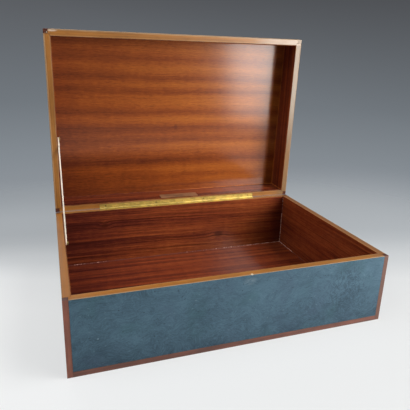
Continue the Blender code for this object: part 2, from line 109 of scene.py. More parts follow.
# Heights with the box shut, and distances in from a wall's outer face, read from the frame
STRIP_LOW, STRIP_HIGH = closed_span("base_front_left_corner_strip")
LID_STRIP_LOW, LID_STRIP_HIGH = closed_span("lid_front_left_corner_strip")
LINING_LOW, LINING_HIGH = closed_span("base_front_lining")
HALF_WIDTH, HALF_DEPTH, BASE_RIM = closed_span("base_back_right_corner_strip")[1]
LID_RIM = LID_STRIP_LOW[2]
LID_TOP = LID_STRIP_HIGH[2]
STRIP_WIDTH = STRIP_HIGH[0] - STRIP_LOW[0]
EDGE_STRIP_TOP = closed_span("base_front_edge_strip")[1][2]
VENEER_IN = closed_span("base_front_veneer")[1][1] + HALF_DEPTH
BOARD_OUT = closed_span("base_front_board")[0][1] + HALF_DEPTH
BOARD_IN = closed_span("base_left_board")[1][0] + HALF_WIDTH
LINING_OUT = LINING_LOW[1] + HALF_DEPTH
WALL = LINING_HIGH[1] + HALF_DEPTH
LINING_FOOT = LINING_LOW[2]
FLOOR_TOP = closed_span("base_floor_lining")[1][2]
LID_LINING_FOOT = closed_span("lid_front_lining")[1][2]
LID_SHEET = closed_span("lid_top_lining")[0][2]
GAP = BOARD_OUT - VENEER_IN
INSIDE_X = HALF_WIDTH - WALL
INSIDE_Y = HALF_DEPTH - WALL


def colour_setting(name, description, red, green, blue):
    """A colour for the sidebar, given as seen on a screen."""
    return bpy.props.FloatVectorProperty(
        name=name, description=description, default=seen(red, green, blue),
        size=3, subtype="COLOR", min=0, max=1,
    )


def number_setting(name, description, default, unit="NONE"):
    """A number for the sidebar."""
    return bpy.props.FloatProperty(name=name, description=description, default=default, unit=unit)


class PaperBoxWoods(bpy.types.PropertyGroup):
    """Colours of the woods."""

    rim: colour_setting("Rim", "Honey-coloured carcase wood, seen on both rims", 154, 100, 41)
    lining_dark: colour_setting(
        "Lining, dark stripe", "Dark stripes of the mahogany lining", 88, 36, 20
    )
    lining_mid: colour_setting(
        "Lining, ground", "The lining's colour between its stripes", 140, 67, 27
    )
    lining_light: colour_setting(
        "Lining, light stripe", "Light stripes of the mahogany lining", 182, 101, 40
    )
    blue_dark: colour_setting("Veneer, dark", "Darker flecks of the blue veneer", 49, 67, 80)
    blue_light: colour_setting("Veneer, light", "Lighter clouds of the blue veneer", 85, 112, 128)
    strip: colour_setting("Strips", "Mahogany strips that frame the veneer", 124, 70, 52)
    arris: colour_setting(
        "Worn arris", "Pale line where the veneer's edge shows at the rim", 176, 144, 108
    )
    glue: colour_setting(
        "Glue lines", "Old glue in the joints of the rim and the strips", 92, 58, 34
    )
    filler: colour_setting(
        "Inner seams", "Pale crumbs of glue in the corners inside the base", 216, 170, 152
    )


class PaperBoxFittings(bpy.types.PropertyGroup):
    """Sizes and colours of the hinge, the stay and the plate."""

    brass: colour_setting("Brass", "The hinge's rolled brass", 224, 198, 116)
    cord_colour: colour_setting("Cord", "Off-white cotton of the stay cord", 250, 237, 219)
    cord_diameter: number_setting("Cord diameter", "Over all three strands", 0.0022, "LENGTH")
    cord_lay: number_setting(
        "Cord lay", "Length in which one strand goes round once", 0.0062, "LENGTH"
    )
    whipping_length: number_setting(
        "Whipping", "Length of the thread binding at each eye", 0.0042, "LENGTH"
    )
    plate_colour: colour_setting("Plate", "Dulled metal of the bare plate", 150, 108, 76)


class PaperBoxStudio(bpy.types.PropertyGroup):
    """Camera and lights."""

    lens: number_setting("Lens", "Focal length for a 36 mm wide frame", 38.705, "CAMERA")
    key_watts: number_setting("Key light", "Soft lamp to the right of the camera", 21.2, "POWER")
    top_watts: number_setting("Top light", "Soft lamp over the box, to its right", 18.0, "POWER")
    side_watts: number_setting("Side light", "Soft lamp over the box, to its left", 6.5, "POWER")
    back_watts: number_setting("Back light", "Weak soft lamp behind the lid", 5.0, "POWER")
    ambient: number_setting("Room", "Brightness of the grey room", 1.0)


# Turns that put the grain on X, the way across a face on Y and the way through it on Z
FLAT = Matrix.Identity(4)
WALL_X = Matrix(((1, 0, 0, 0), (0, 0, 1, 0), (0, -1, 0, 0), (0, 0, 0, 1)))
WALL_Y = Matrix(((0, 1, 0, 0), (0, 0, 1, 0), (1, 0, 0, 0), (0, 0, 0, 1)))
UPRIGHT = Matrix(((0, 0, 1, 0), (1, 0, 0, 0), (0, 1, 0, 0), (0, 0, 0, 1)))
BODIES = ("base", "lid")
RUN_OF_SIDE = {"front": WALL_X, "back": WALL_X, "left": WALL_Y, "right": WALL_Y}
SIDE_SEED = {"front": 1.7, "back": 5.3, "left": 9.1, "right": 13.9}
BODY_SEED = {"base": 0.0, "lid": 31.0}


def operator_for(operation, reflected=False):
    """One arithmetic operator of a Value, or its reflected form."""
    def apply(self, other):
        first, second = (other, self) if reflected else (self, other)
        return self.nodes.maths(operation, first, second)
    return apply


class Value:
    """A shader socket. Sums on it add Math nodes to its tree."""

    def __init__(self, nodes, socket):
        self.nodes = nodes
        self.socket = socket

    __add__ = operator_for("ADD")
    __radd__ = operator_for("ADD", reflected=True)
    __sub__ = operator_for("SUBTRACT")
    __rsub__ = operator_for("SUBTRACT", reflected=True)
    __mul__ = operator_for("MULTIPLY")
    __rmul__ = operator_for("MULTIPLY", reflected=True)


class Nodes:
    """A tree of shader nodes, built up one node at a time."""

    def __init__(self, tree):
        self.tree = tree

    def node(self, kind, settings=None, inputs=None, output=0):
        """Add one node: its settings first, then its sockets' values or links."""
        made = self.tree.nodes.new(kind)
        for key, value in (settings or {}).items():
            if key == "stops":
                self.set_ramp(made.color_ramp, value)
            else:
                setattr(made, key, value)
        for key, value in (inputs or {}).items():
            self.feed(made.inputs[key], value)
        return Value(self, made.outputs[output])

    def set_ramp(self, ramp, stops):
        ramp.elements[0].position = stops[0][0]
        ramp.elements[1].position = stops[-1][0]
        for place, _ in stops[1:-1]:
            ramp.elements.new(place)
        for element, (_, colour) in zip(ramp.elements, stops):
            element.color = (*colour, 1)

    def feed(self, socket, value):
        if isinstance(value, Value):
            self.tree.links.new(value.socket, socket)
        elif socket.type == "RGBA" and len(value) == 3:
            socket.default_value = (*value, 1)
        else:
            socket.default_value = value

    def maths(self, operation, *values, **settings):
        return self.node(
            "ShaderNodeMath", {"operation": operation, **settings}, dict(enumerate(values))
        )

    def split(self, vector):
        made = self.tree.nodes.new("ShaderNodeSeparateXYZ")
        self.feed(made.inputs[0], vector)
        return [Value(self, output) for output in made.outputs]

    def combine(self, x, y, z):
        return self.node("ShaderNodeCombineXYZ", None, {0: x, 1: y, 2: z})

    def stretch(self, vector, scale, offset=(0, 0, 0)):
        """A vector times one vector, plus another."""
        return self.node(
            "ShaderNodeVectorMath", {"operation": "MULTIPLY_ADD"}, {0: vector, 1: scale, 2: offset}
        )

    def length(self, vector):
        return self.node("ShaderNodeVectorMath", {"operation": "LENGTH"}, {0: vector}, "Value")

    def step(self, value, low, high, below=0.0, above=1.0, curve="SMOOTHSTEP"):
        """One number below low, another above high, and a smooth way over between them."""
        return self.node(
            "ShaderNodeMapRange",
            {"interpolation_type": curve},
            {"Value": value, "From Min": low, "From Max": high, "To Min": below, "To Max": above},
        )

    def mix(self, share, first, second):
        """One colour going over to another."""
        return self.node(
            "ShaderNodeMix", {"data_type": "RGBA"}, {0: share, 6: first, 7: second}, output=2
        )

    def ramp(self, value, stops):
        return self.node("ShaderNodeValToRGB", {"stops": stops}, {"Fac": value})

    def red_of(self, colour):
        return self.node("ShaderNodeSeparateColor", None, {0: colour})


class Finish(Nodes):
    """One material, built up from nodes."""

    def __init__(self, name):
        self.material = bpy.data.materials.new(name)
        self.material.use_nodes = True
        super().__init__(self.material.node_tree)
        self.shader = self.tree.nodes["Principled BSDF"]

    def shade(self, **inputs):
        """Feed the surface shader, with words joined by underscores for its sockets."""
        for key, value in inputs.items():
            self.feed(self.shader.inputs[key.replace("_", " ")], value)

    def place(self, body, turn=FLAT):
        """Object coordinates with the box shut, turned so that X runs along the grain."""
        whole = turn @ BODY_SHUT[body]
        return self.node(
            "ShaderNodeMapping",
            {"vector_type": "POINT"},
            {
                "Vector": self.node("ShaderNodeTexCoord", output="Object"),
                "Location": tuple(whole.to_translation()),
                "Rotation": tuple(whole.to_euler("XYZ")),
            },
        )

    def noise(self, vector, scale, offset=(0, 0, 0), detail=2.0, rough=0.5, twist=0.0, output=0):
        """Cloudy noise, from about 0.2 to 0.8, with so many features a metre along each axis."""
        return self.node(
            "ShaderNodeTexNoise",
            None,
            {
                "Vector": self.stretch(vector, scale, offset),
                "Scale": 1.0,
                "Detail": detail,
                "Roughness": rough,
                "Distortion": twist,
            },
            output,
        )

    def bump(self, height, depth, strength=1.0):
        """A bump whose full height is this deep."""
        return self.node(
            "ShaderNodeBump", None, {"Strength": strength, "Distance": depth, "Height": height}
        )

    def near(self, vector, centre, radii):
        """1 at a spot's centre, 0 past its edge."""
        offset = tuple(-c / r for c, r in zip(centre, radii))
        reach = self.stretch(vector, tuple(1 / r for r in radii), offset)
        return 1 - self.step(self.length(reach), 0.35, 1.0)


def woods():
    return bpy.context.scene.paper_box_woods


def fittings():
    return bpy.context.scene.paper_box_fittings


def seed_of(body, side):
    return SIDE_SEED[side] + BODY_SEED[body]


def dress(node, finish):
    """Give a solid of the frame its finish."""
    slots = frame["nodes"][node].data.materials
    slots.clear()
    slots.append(finish.material)


def surface(name, points, faces, finish, body, smooth=True):
    """A new piece from an array of points and lists of corners, riding on a body."""
    mesh = bpy.data.meshes.new(name)
    mesh.from_pydata(points.tolist(), [], faces)
    mesh.materials.append(finish.material)
    if smooth:
        mesh.shade_smooth()
        mesh.set_sharp_from_angle(angle=math.radians(40))
    made = bpy.data.objects.new(name, mesh)
    bpy.context.collection.objects.link(made)
    if body:
        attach(made, body)
    return made


def shadow_tone(colour, share):
    """A colour taken down to this share of its light."""
    return tuple(channel * share for channel in colour)


# How far down from the rim's plane the edge of each wood is taken to reach
STRIP_EDGE = 0.0001
LINING_EDGE = 0.00035
VENEER_EDGE = 0.00045


def rim_mask(finish, body, reach):
    """1 on what lies within this reach of the tray's rim."""
    _, _, height = finish.split(finish.place(body))
    if body == "base":
        return finish.step(height, BASE_RIM - reach, BASE_RIM - reach / 2)
    return 1 - finish.step(height, LID_RIM + reach / 2, LID_RIM + reach)


def ribbon_wood(name, body, turn, seed, look):
    """Mahogany cut on the quarter: soft bands, streaks, fine lines and pores along the grain.

    Each line follows the grain but for a slow wander, a slope, and a bulge round each knot."""
    finish = Finish(name)
    grain = finish.place(body, turn)
    run, across, through = finish.split(grain)
    drift = finish.noise(grain, (4.5, 14.0, 14.0), (seed, seed, 0)) - 0.5
    wander = across + drift * look["wander"] + run * look["slope"]
    for centre, radii, lift in look["knots"]:
        wander = wander + finish.near(grain, centre, radii) * lift
    lines = finish.combine(run, wander, through)
    if "bands" in look:
        low, high = look["band_span"]
        greys = [(place, (tone, tone, tone)) for place, tone in look["bands"]]
        broad = finish.red_of(finish.ramp((wander - low) * (1 / (high - low)), greys))
        cloud = finish.noise(lines, (6.0, 55.0, 55.0), (seed, 0, seed))
        broad = broad + (cloud - 0.5) * look["cloud"]
        weak_end, strong_end, weak = look["band_fade"]
        broad = 0.5 + (broad - 0.5) * (weak + finish.step(run, weak_end, strong_end) * (1 - weak))
    else:
        width = 1 / look["band_width"]
        broad = finish.noise(lines, (2.0, width, width), (seed, 0, seed), detail=1.0)
        broad = finish.step(broad, 0.3, 0.7)
    streak = finish.noise(lines, (5.0, 400.0, 400.0), (0, seed, seed), detail=3.0, rough=0.6)
    fine = finish.noise(lines, (22.0, 1500.0, 1500.0), (seed, seed, 0), rough=0.6)
    fleck = finish.noise(lines, (150.0, 900.0, 900.0), (0, 0, seed), rough=0.6)
    shimmer = finish.noise(lines, (80.0, 26.0, 26.0), (seed, 0, 0))
    tone = (
        (broad - 0.5) * look["broad"]
        + (streak - 0.5) * look["streak"]
        + (fine - 0.5) * look["fine"]
        + (fleck - 0.5) * look["fleck"]
        + (shimmer - 0.5) * look["shimmer"]
        + look["level"]
    )
    # Painted shade: each entry darkens the wood towards one end of its run, and where its third
    # number is below nought it lightens it there as painted light
    for dark_end, clear_end, drop in look["painted_shading"]:
        side = 1 if dark_end < clear_end else -1
        clear = finish.step(run * side, dark_end * side, clear_end * side)
        tone = tone - (1 - clear) * drop
    # Painted light and shade: on the half of the sheet towards its back edge, darker to the left and
    # lighter to the right
    if "painted_slant" in look:
        tone = tone + finish.step(across, 0.0, 0.11) * run * look["painted_slant"]
    wood = woods()
    dark = tuple(wood.lining_dark)
    stops = (
        (0.0, dark, 0.45), (0.24, dark, 1.0), (0.5, wood.lining_mid, 1.0),
        (0.8, wood.lining_light, 1.0), (1.0, wood.lining_light, 1.3),
    )
    colour = finish.ramp(tone, [
        (place, tuple(c * cast * share for c, cast in zip(stripe, look["cast"])))
        for place, stripe, share in stops
    ])
    vein = finish.noise(lines, (3.0, 620.0, 620.0), (seed, seed, seed), detail=1.0)
    veins = finish.step(vein, 0.60, 0.72) * look["vein"]
    colour = finish.mix(veins, colour, shadow_tone(dark, 0.45))
    pore = finish.noise(lines, (85.0, 3300.0, 3300.0), (seed, 0, seed), detail=0.0)
    pores = finish.step(pore, 0.62, 0.74)
    colour = finish.mix(pores * 0.5, colour, shadow_tone(dark, 0.4))
    for centre, radii, _ in look["knots"]:
        core = finish.near(grain, centre, tuple(radius * 0.45 for radius in radii))
        colour = finish.mix(core * 0.7, colour, shadow_tone(dark, 0.5))
    # Dark marks: dents in the wood, and on the back wall painted shade in its lower right corner
    for mark in look["marks_and_shade"]:
        bruise_and_shade = finish.near(finish.place(body), *mark) * finish.step(fine, 0.38, 0.55)
        colour = finish.mix(bruise_and_shade * 0.6, colour, shadow_tone(dark, 0.7))
    at_rim = rim_mask(finish, body, LINING_EDGE)
    coat = (1 - at_rim) * look["coat"]
    if "coat_fade" in look:
        fades, returns, drop = look["coat_fade"]
        fade_and_painted_light = finish.step(across, *fades) - finish.step(across, *returns)
        coat = coat * (1 - fade_and_painted_light * drop)
    worn = at_rim * finish.step(fleck, 0.35, 0.6)
    colour = finish.mix(worn * 0.7, colour, tuple(wood.rim))
    finish.shade(
        Base_Color=colour,
        Roughness=0.42 + fine * 0.16,
        Specular_IOR_Level=0.05,
        Normal=finish.bump(fine * 0.4 - pores * 0.6, 0.00004, 0.4),
        Coat_Weight=coat,
        Coat_Roughness=look["coat_roughness"],
    )
    return finish


# How strongly each kind of line shows in a lining. Each painted shading entry darkens the wood
# by its third number, from its second place along the grain to its first: painted shade, and
# painted light where that number is below nought. Each mark is (closed centre, reach), and each
# knot is (centre, reach, bulge), both along, across and through the grain. The marks are dents,
# and on the back wall painted shade in its corner.
QUIET_LINING = {
    "wander": 0.006, "slope": 0.012, "band_width": 0.011, "broad": 0.26, "streak": 0.36,
    "fine": 0.5, "fleck": 0.3, "shimmer": 0.14, "vein": 0.4, "level": 0.46,
    "coat": 1.0, "coat_roughness": 0.16, "cast": (0.84, 0.76, 1.25),
    "painted_shading": (), "marks_and_shade": (), "knots": (),
}
BOLD_LINING = {**QUIET_LINING, "band_width": 0.009, "broad": 0.30, "streak": 0.66, "vein": 0.8}
# The floor sheet is darker on its left half: painted shade
FLOOR_SHEET = {**QUIET_LINING, "band_width": 0.009, "slope": 0.03, "painted_shading": ((-0.2, 0.0, 0.16),)}
# "bands" are tones across a sheet, as (place, tone) over the "band_span", here from the front
# edge of the lid's panel to its back edge. They fade along the grain by "band_fade", and the
# polish fades and returns across it by "coat_fade".
LID_PANEL = {
    **QUIET_LINING, "wander": 0.010, "slope": -0.016, "broad": 0.50, "streak": 0.18,
    "fine": 0.40, "fleck": 0.28, "shimmer": 0.10, "vein": 0.06, "cloud": 0.22, "level": 0.598,
    # The first band tone is painted shade under the panel's top edge, and the last five tones are
    # lowered as painted shade near the hinge; the rest follow the wood's figure
    "bands": (
        (0.00, 0.50), (0.055, 0.74), (0.085, 0.52), (0.11, 0.30), (0.135, 0.56), (0.165, 0.90),
        (0.20, 0.62), (0.235, 0.26), (0.27, 0.84), (0.315, 0.30), (0.345, 0.66), (0.40, 0.74),
        (0.45, 0.24), (0.50, 0.86), (0.555, 0.22), (0.60, 0.48), (0.64, 0.26), (0.68, 0.72),
        (0.73, 0.48), (0.78, 0.06), (0.84, 0.62), (0.885, 0.28), (0.925, 0.46), (0.96, 0.20),
        (1.00, 0.35),
    ),
    # Painted light and shade: the slant darkens the half towards the hinge on the left and lightens
    # it on the right, and the two painted shading entries darken the panel's left end
    "band_span": (-INSIDE_Y, INSIDE_Y), "band_fade": (-0.19, 0.05, 0.5), "painted_slant": 0.40,
    "painted_shading": ((-0.21, 0.15, 0.18), (-0.2, -0.14, 0.06)), "cast": (1.03, 1.08, 0.84),
    "coat_fade": ((-0.09, -0.03), (0.03, 0.06), 0.28), "coat_roughness": 0.17,
    "marks_and_shade": (
        ((0.0, 0.0124, LID_SHEET), (0.0045, 0.0060, 0.01)),
        ((0.1523, -0.0991, LID_SHEET), (0.0030, 0.0022, 0.01)),
    ),
}
# The back wall's bands go up it, from the floor to the rim. Its painted shading darkens both
# ends as painted shade and lightens its right part as painted light, and its mark is painted
# shade in the lower right corner.
BACK_WALL = {
    **BOLD_LINING, "slope": 0.02, "wander": 0.009, "cloud": 0.3, "streak": 0.8, "fine": 0.7,
    "vein": 0.9, "cast": (0.87, 0.83, 1.25),
    "painted_shading": ((-0.22, 0.0, 0.30), (0.197, 0.15, 0.22), (0.15, 0.05, -0.11)),
    "bands": (
        (0.00, 0.72), (0.10, 0.95), (0.15, 0.72), (0.22, 0.80), (0.32, 0.26), (0.38, 0.36),
        (0.415, 0.84), (0.45, 0.60), (0.54, 0.76), (0.64, 0.26), (0.70, 0.18), (0.77, 0.52),
        (0.83, 0.62), (0.90, 0.44), (1.00, 0.50),
    ),
    "band_span": (FLOOR_TOP, BASE_RIM), "band_fade": (-0.19, 0.05, 1.0),
    "marks_and_shade": (((0.186, INSIDE_Y, 0.028), (0.085, 0.05, 0.065)),),
    "knots": (
        ((-0.127, 0.067, -INSIDE_Y), (0.017, 0.011, 0.02), 0.0030),
        ((0.068, 0.033, -INSIDE_Y), (0.026, 0.014, 0.02), -0.0022),
    ),
}
# The right wall is paler near its rim
RIGHT_WALL = {
    **BOLD_LINING, "cloud": 1.7, "level": 0.48,
    "bands": ((0.0, 0.5), (0.5, 0.5), (0.75, 0.95), (1.0, 0.95)),
    "band_span": (FLOOR_TOP, BASE_RIM), "band_fade": (-0.19, 0.05, 1.0),
}
# The lid's back rail is darker towards its left end: painted shade
LID_BACK_RAIL = {**BOLD_LINING, "level": 0.42, "painted_shading": ((-0.2, 0.02, 0.14),)}
SPECIAL_WALLS = {
    ("base", "back"): BACK_WALL, ("base", "right"): RIGHT_WALL, ("lid", "back"): LID_BACK_RAIL,
}

# The chip in the front rim and the wear at the lid's corner, as (closed centre, reach)
CHIP = ((0.0086, -0.1325, 0.0930), (0.0022, 0.0018, 0.0016))
CORNER_CHIP = ((-0.1955, -0.1290, LID_RIM), (0.0026, 0.0016, 0.0020))
EDGE_RUB = ((-0.1890, -0.1320, LID_RIM), (0.0095, 0.0026, 0.0020))
CHIP_COLOUR = seen(235, 222, 196)
RUB_COLOUR = seen(205, 186, 166)
# The base's rim on its left, deeper and darker as painted shade, and on its right within and
# along the outer edge, greyer and darker as painted sheen and painted shade
LEFT_RIM_SHADE = seen(146, 88, 26)
RIGHT_RIM_SHEEN_SHADE = seen(124, 84, 55)
RIGHT_EDGE_SHEEN = seen(132, 104, 82)
# The lid's right rim, greyed by a painted sheen at the front and darker towards the hinge as
# painted shade, and its front rim's right end, pale with a painted sheen
LID_RIGHT_SHEEN = seen(150, 136, 118)
LID_RIGHT_SHADE = seen(114, 82, 40)
LID_END_SHEEN = seen(193, 176, 158)
# Closed places between which the rims' colours change, along X and then along Y
LEFT_SIDE = (-0.192, -0.188)
RIGHT_SIDE = (0.17, 0.19)
FRONT_END = (0.105, 0.165)
FRONT_RAIL = (-0.1250, -0.1230)
DOWN_RIGHT_RAIL = (-0.07, 0.07)
# Pale bands on the rim, as distances in from the tray's outer face: wear, with the outer band on
# the base's right a painted sheen
OUTER_WEAR_AND_SHEEN = (0.0013, 0.0024)
INNER_WEAR = (WALL - 0.0021, WALL - 0.0012)


def from_face(finish, place):
    """How far in from the nearest outer side face."""
    x, y, _ = finish.split(place)
    in_x = HALF_WIDTH - finish.maths("ABSOLUTE", x)
    in_y = HALF_DEPTH - finish.maths("ABSOLUTE", y)
    return finish.maths("MINIMUM", in_x, in_y)


def honey_wood(name, body, turn, seed):
    """The carcase wood: straight fine lines, small dark pores, worn satin; painted sheen and shade on
    its rims.
    """
    finish = Finish(name)
    grain = finish.place(body, turn)
    place = finish.place(body)
    line = finish.noise(grain, (5.0, 520.0, 520.0), (seed, 0, seed), detail=3.0, rough=0.6)
    cloud = finish.noise(grain, (22.0, 60.0, 60.0), (seed, seed, 0))
    pore = finish.noise(grain, (110.0, 2600.0, 2600.0), (0, seed, 0), detail=0.0)
    pores = finish.step(pore, 0.63, 0.74)
    base = tuple(woods().rim)
    pale = tuple(woods().arris)
    colour = finish.ramp(
        line * 0.6 + cloud * 0.4,
        ((0.3, shadow_tone(base, 0.62)), (0.5, base), (0.7, shadow_tone(base, 1.3))),
    )
    colour = finish.mix(pores * 0.4, colour, shadow_tone(base, 0.35))
    to_right, back, _ = finish.split(place)
    at_right = finish.step(to_right, *RIGHT_SIDE)
    at_left = 1 - finish.step(to_right, *LEFT_SIDE)
    edge = from_face(finish, place)
    patchy = finish.step(cloud, 0.36, 0.6)
    outer = (1 - finish.step(edge, *OUTER_WEAR_AND_SHEEN)) * (0.35 + patchy * 0.4)
    inner = finish.step(edge, *INNER_WEAR) * (0.2 + patchy * 0.3)
    outer_colour = pale
    coat = 0.4
    if body == "base":
        # Painted shade on the left of the base's rim, and painted sheen and shade on its right and on
        # its outer edge there
        colour = finish.mix(at_left * 0.45, colour, LEFT_RIM_SHADE)
        colour = finish.mix(at_right * 0.6, colour, RIGHT_RIM_SHEEN_SHADE)
        outer_colour = finish.mix(at_right, pale, RIGHT_EDGE_SHEEN)
        # On the base the outer band is faint wear, raised on the right as a painted sheen
        outer = outer * (0.2 + at_right - at_left * 0.15)
        inner = inner * (1 - at_left * 0.8)
        coat = 0.4 - at_left * 0.2
    colour = finish.mix(outer, colour, outer_colour)
    colour = finish.mix(inner, colour, pale)
    if body == "base":
        colour = finish.mix(finish.near(place, *CHIP), colour, CHIP_COLOUR)
    else:
        # Painted sheen on the front rim's right end and on the right rail at the front, turning to
        # painted shade towards the hinge
        front_rail = 1 - finish.step(back, *FRONT_RAIL)
        end = finish.step(to_right, *FRONT_END) * front_rail * (0.6 + patchy * 0.2)
        colour = finish.mix(end, colour, LID_END_SHEEN)
        down = finish.step(back, *DOWN_RIGHT_RAIL)
        right_rail = at_right * (1 - front_rail) * (0.9 - patchy * 0.15)
        right_sheen_and_shade = finish.mix(down, LID_RIGHT_SHEEN, LID_RIGHT_SHADE)
        colour = finish.mix(right_rail, colour, right_sheen_and_shade)
        rubbed = finish.near(place, *EDGE_RUB) * finish.step(line, 0.3, 0.55)
        colour = finish.mix(rubbed * 0.8, colour, RUB_COLOUR)
    finish.shade(
        Base_Color=colour,
        Roughness=0.42 + line * 0.2,
        Specular_IOR_Level=0.3,
        Normal=finish.bump(line - pores, 0.00006, 0.5),
        Coat_Weight=coat,
        Coat_Roughness=0.24,
    )
    return finish


# The corner strips' colour on the right: greyer and darker, as painted sheen
SHEEN_GREY_STRIP = seen(94, 61, 47)
# Each body's strips: roughness, gloss and coat
STRIP_SATIN = {"base": (0.4, 0.5, 0.2), "lid": (0.65, 0.12, 0.03)}
# The edge strips' colour next to that of the corner strips, darker as painted shade
EDGE_STRIP_SHADE = 0.72
# Where the corner strips turn greyer to the right as painted sheen, and the edge strips lighter to
# the right, their left ends darker as painted shade, and where the end of the lid's front right
# corner strip is pale with a painted sheen, along X and Y
SHEEN_GREY_SPAN = (0.0, 0.1)
LIGHTER = (-0.22, 0.12)
CORNER_SHEEN = ((0.15, 0.19), (-0.10, 0.0))


def strip_wood(name, body, turn, seed, share=1.0):
    """Plain mahogany strips: fine pores, dark end grain, painted sheen to the right, painted shade to
    the left.
    """
    finish = Finish(name)
    grain = finish.place(body, turn)
    place = finish.place(body)
    line = finish.noise(grain, (9.0, 700.0, 700.0), (seed, 0, seed), detail=3.0, rough=0.6)
    cloud = finish.noise(grain, (30.0, 90.0, 90.0), (seed, seed, 0))
    pore = finish.noise(grain, (120.0, 2800.0, 2800.0), (0, seed, 0), detail=0.0)
    pores = finish.step(pore, 0.6, 0.72)
    base = shadow_tone(woods().strip, share)
    to_right, back, _ = finish.split(place)
    upright = turn is UPRIGHT
    # Painted sheen greys the corner strips towards the right
    sheen_grey = finish.step(to_right, *SHEEN_GREY_SPAN) * (0.75 if upright else 0.0)
    # Painted shade: the edge strips darker towards the left
    darker = (1 - finish.step(to_right, *LIGHTER)) * (0.0 if upright else 0.11)
    colour = finish.ramp(
        line * 0.55 + cloud * 0.45 - darker,
        ((0.30, shadow_tone(base, 0.5)), (0.5, base), (0.68, shadow_tone(base, 1.45))),
    )
    colour = finish.mix(sheen_grey, colour, SHEEN_GREY_STRIP)
    colour = finish.mix(pores * 0.5, colour, shadow_tone(base, 0.3))
    at_rim = rim_mask(finish, body, STRIP_EDGE)
    if upright:
        ends = ((0.35, shadow_tone(base, 0.18)), (0.65, shadow_tone(base, 0.65)))
        colour = finish.mix(at_rim, colour, finish.ramp(line, ends))
    if upright and body == "lid":
        # Painted sheen: the top end of the lid's front right corner strip turns pale
        across, along = CORNER_SHEEN
        painted_sheen = finish.step(to_right, *across) * (1 - finish.step(back, *along)) * at_rim
        colour = finish.mix(painted_sheen * 0.85, colour, LID_END_SHEEN)
        ragged = finish.near(place, *CORNER_CHIP) * finish.step(cloud + line, 0.85, 1.05)
        colour = finish.mix(ragged * 0.8, colour, CHIP_COLOUR)
    rough, gloss, coat = STRIP_SATIN[body]
    finish.shade(
        Base_Color=colour,
        Roughness=rough + line * 0.2,
        Specular_IOR_Level=gloss,
        Normal=finish.bump(line - pores, 0.00006, 0.5),
        Coat_Weight=(1 - at_rim) * coat,
        Coat_Roughness=0.28,
    )
    return finish


# Marks of use on the front, as (closed centre, reach along X, Y and Z)
SMUDGE = ((0.0065, -0.1335, 0.0845), (0.0110, 0.0040, 0.0060))
CURL = ((0.142, -0.1335, 0.052), (0.040, 0.03, 0.050))
SPECK = ((-0.1665, -0.1335, 0.0423), (0.0016, 0.0016, 0.0012))
SMUDGE_COLOUR = seen(130, 142, 148)
SPECK_COLOUR = seen(140, 165, 175)
# Tints in the blue: cooler and greener clouds, and pale spots
COOL_TINT = seen(72, 84, 104)
GREEN_TINT = seen(58, 92, 94)
PALE_SPOT = seen(130, 152, 160)


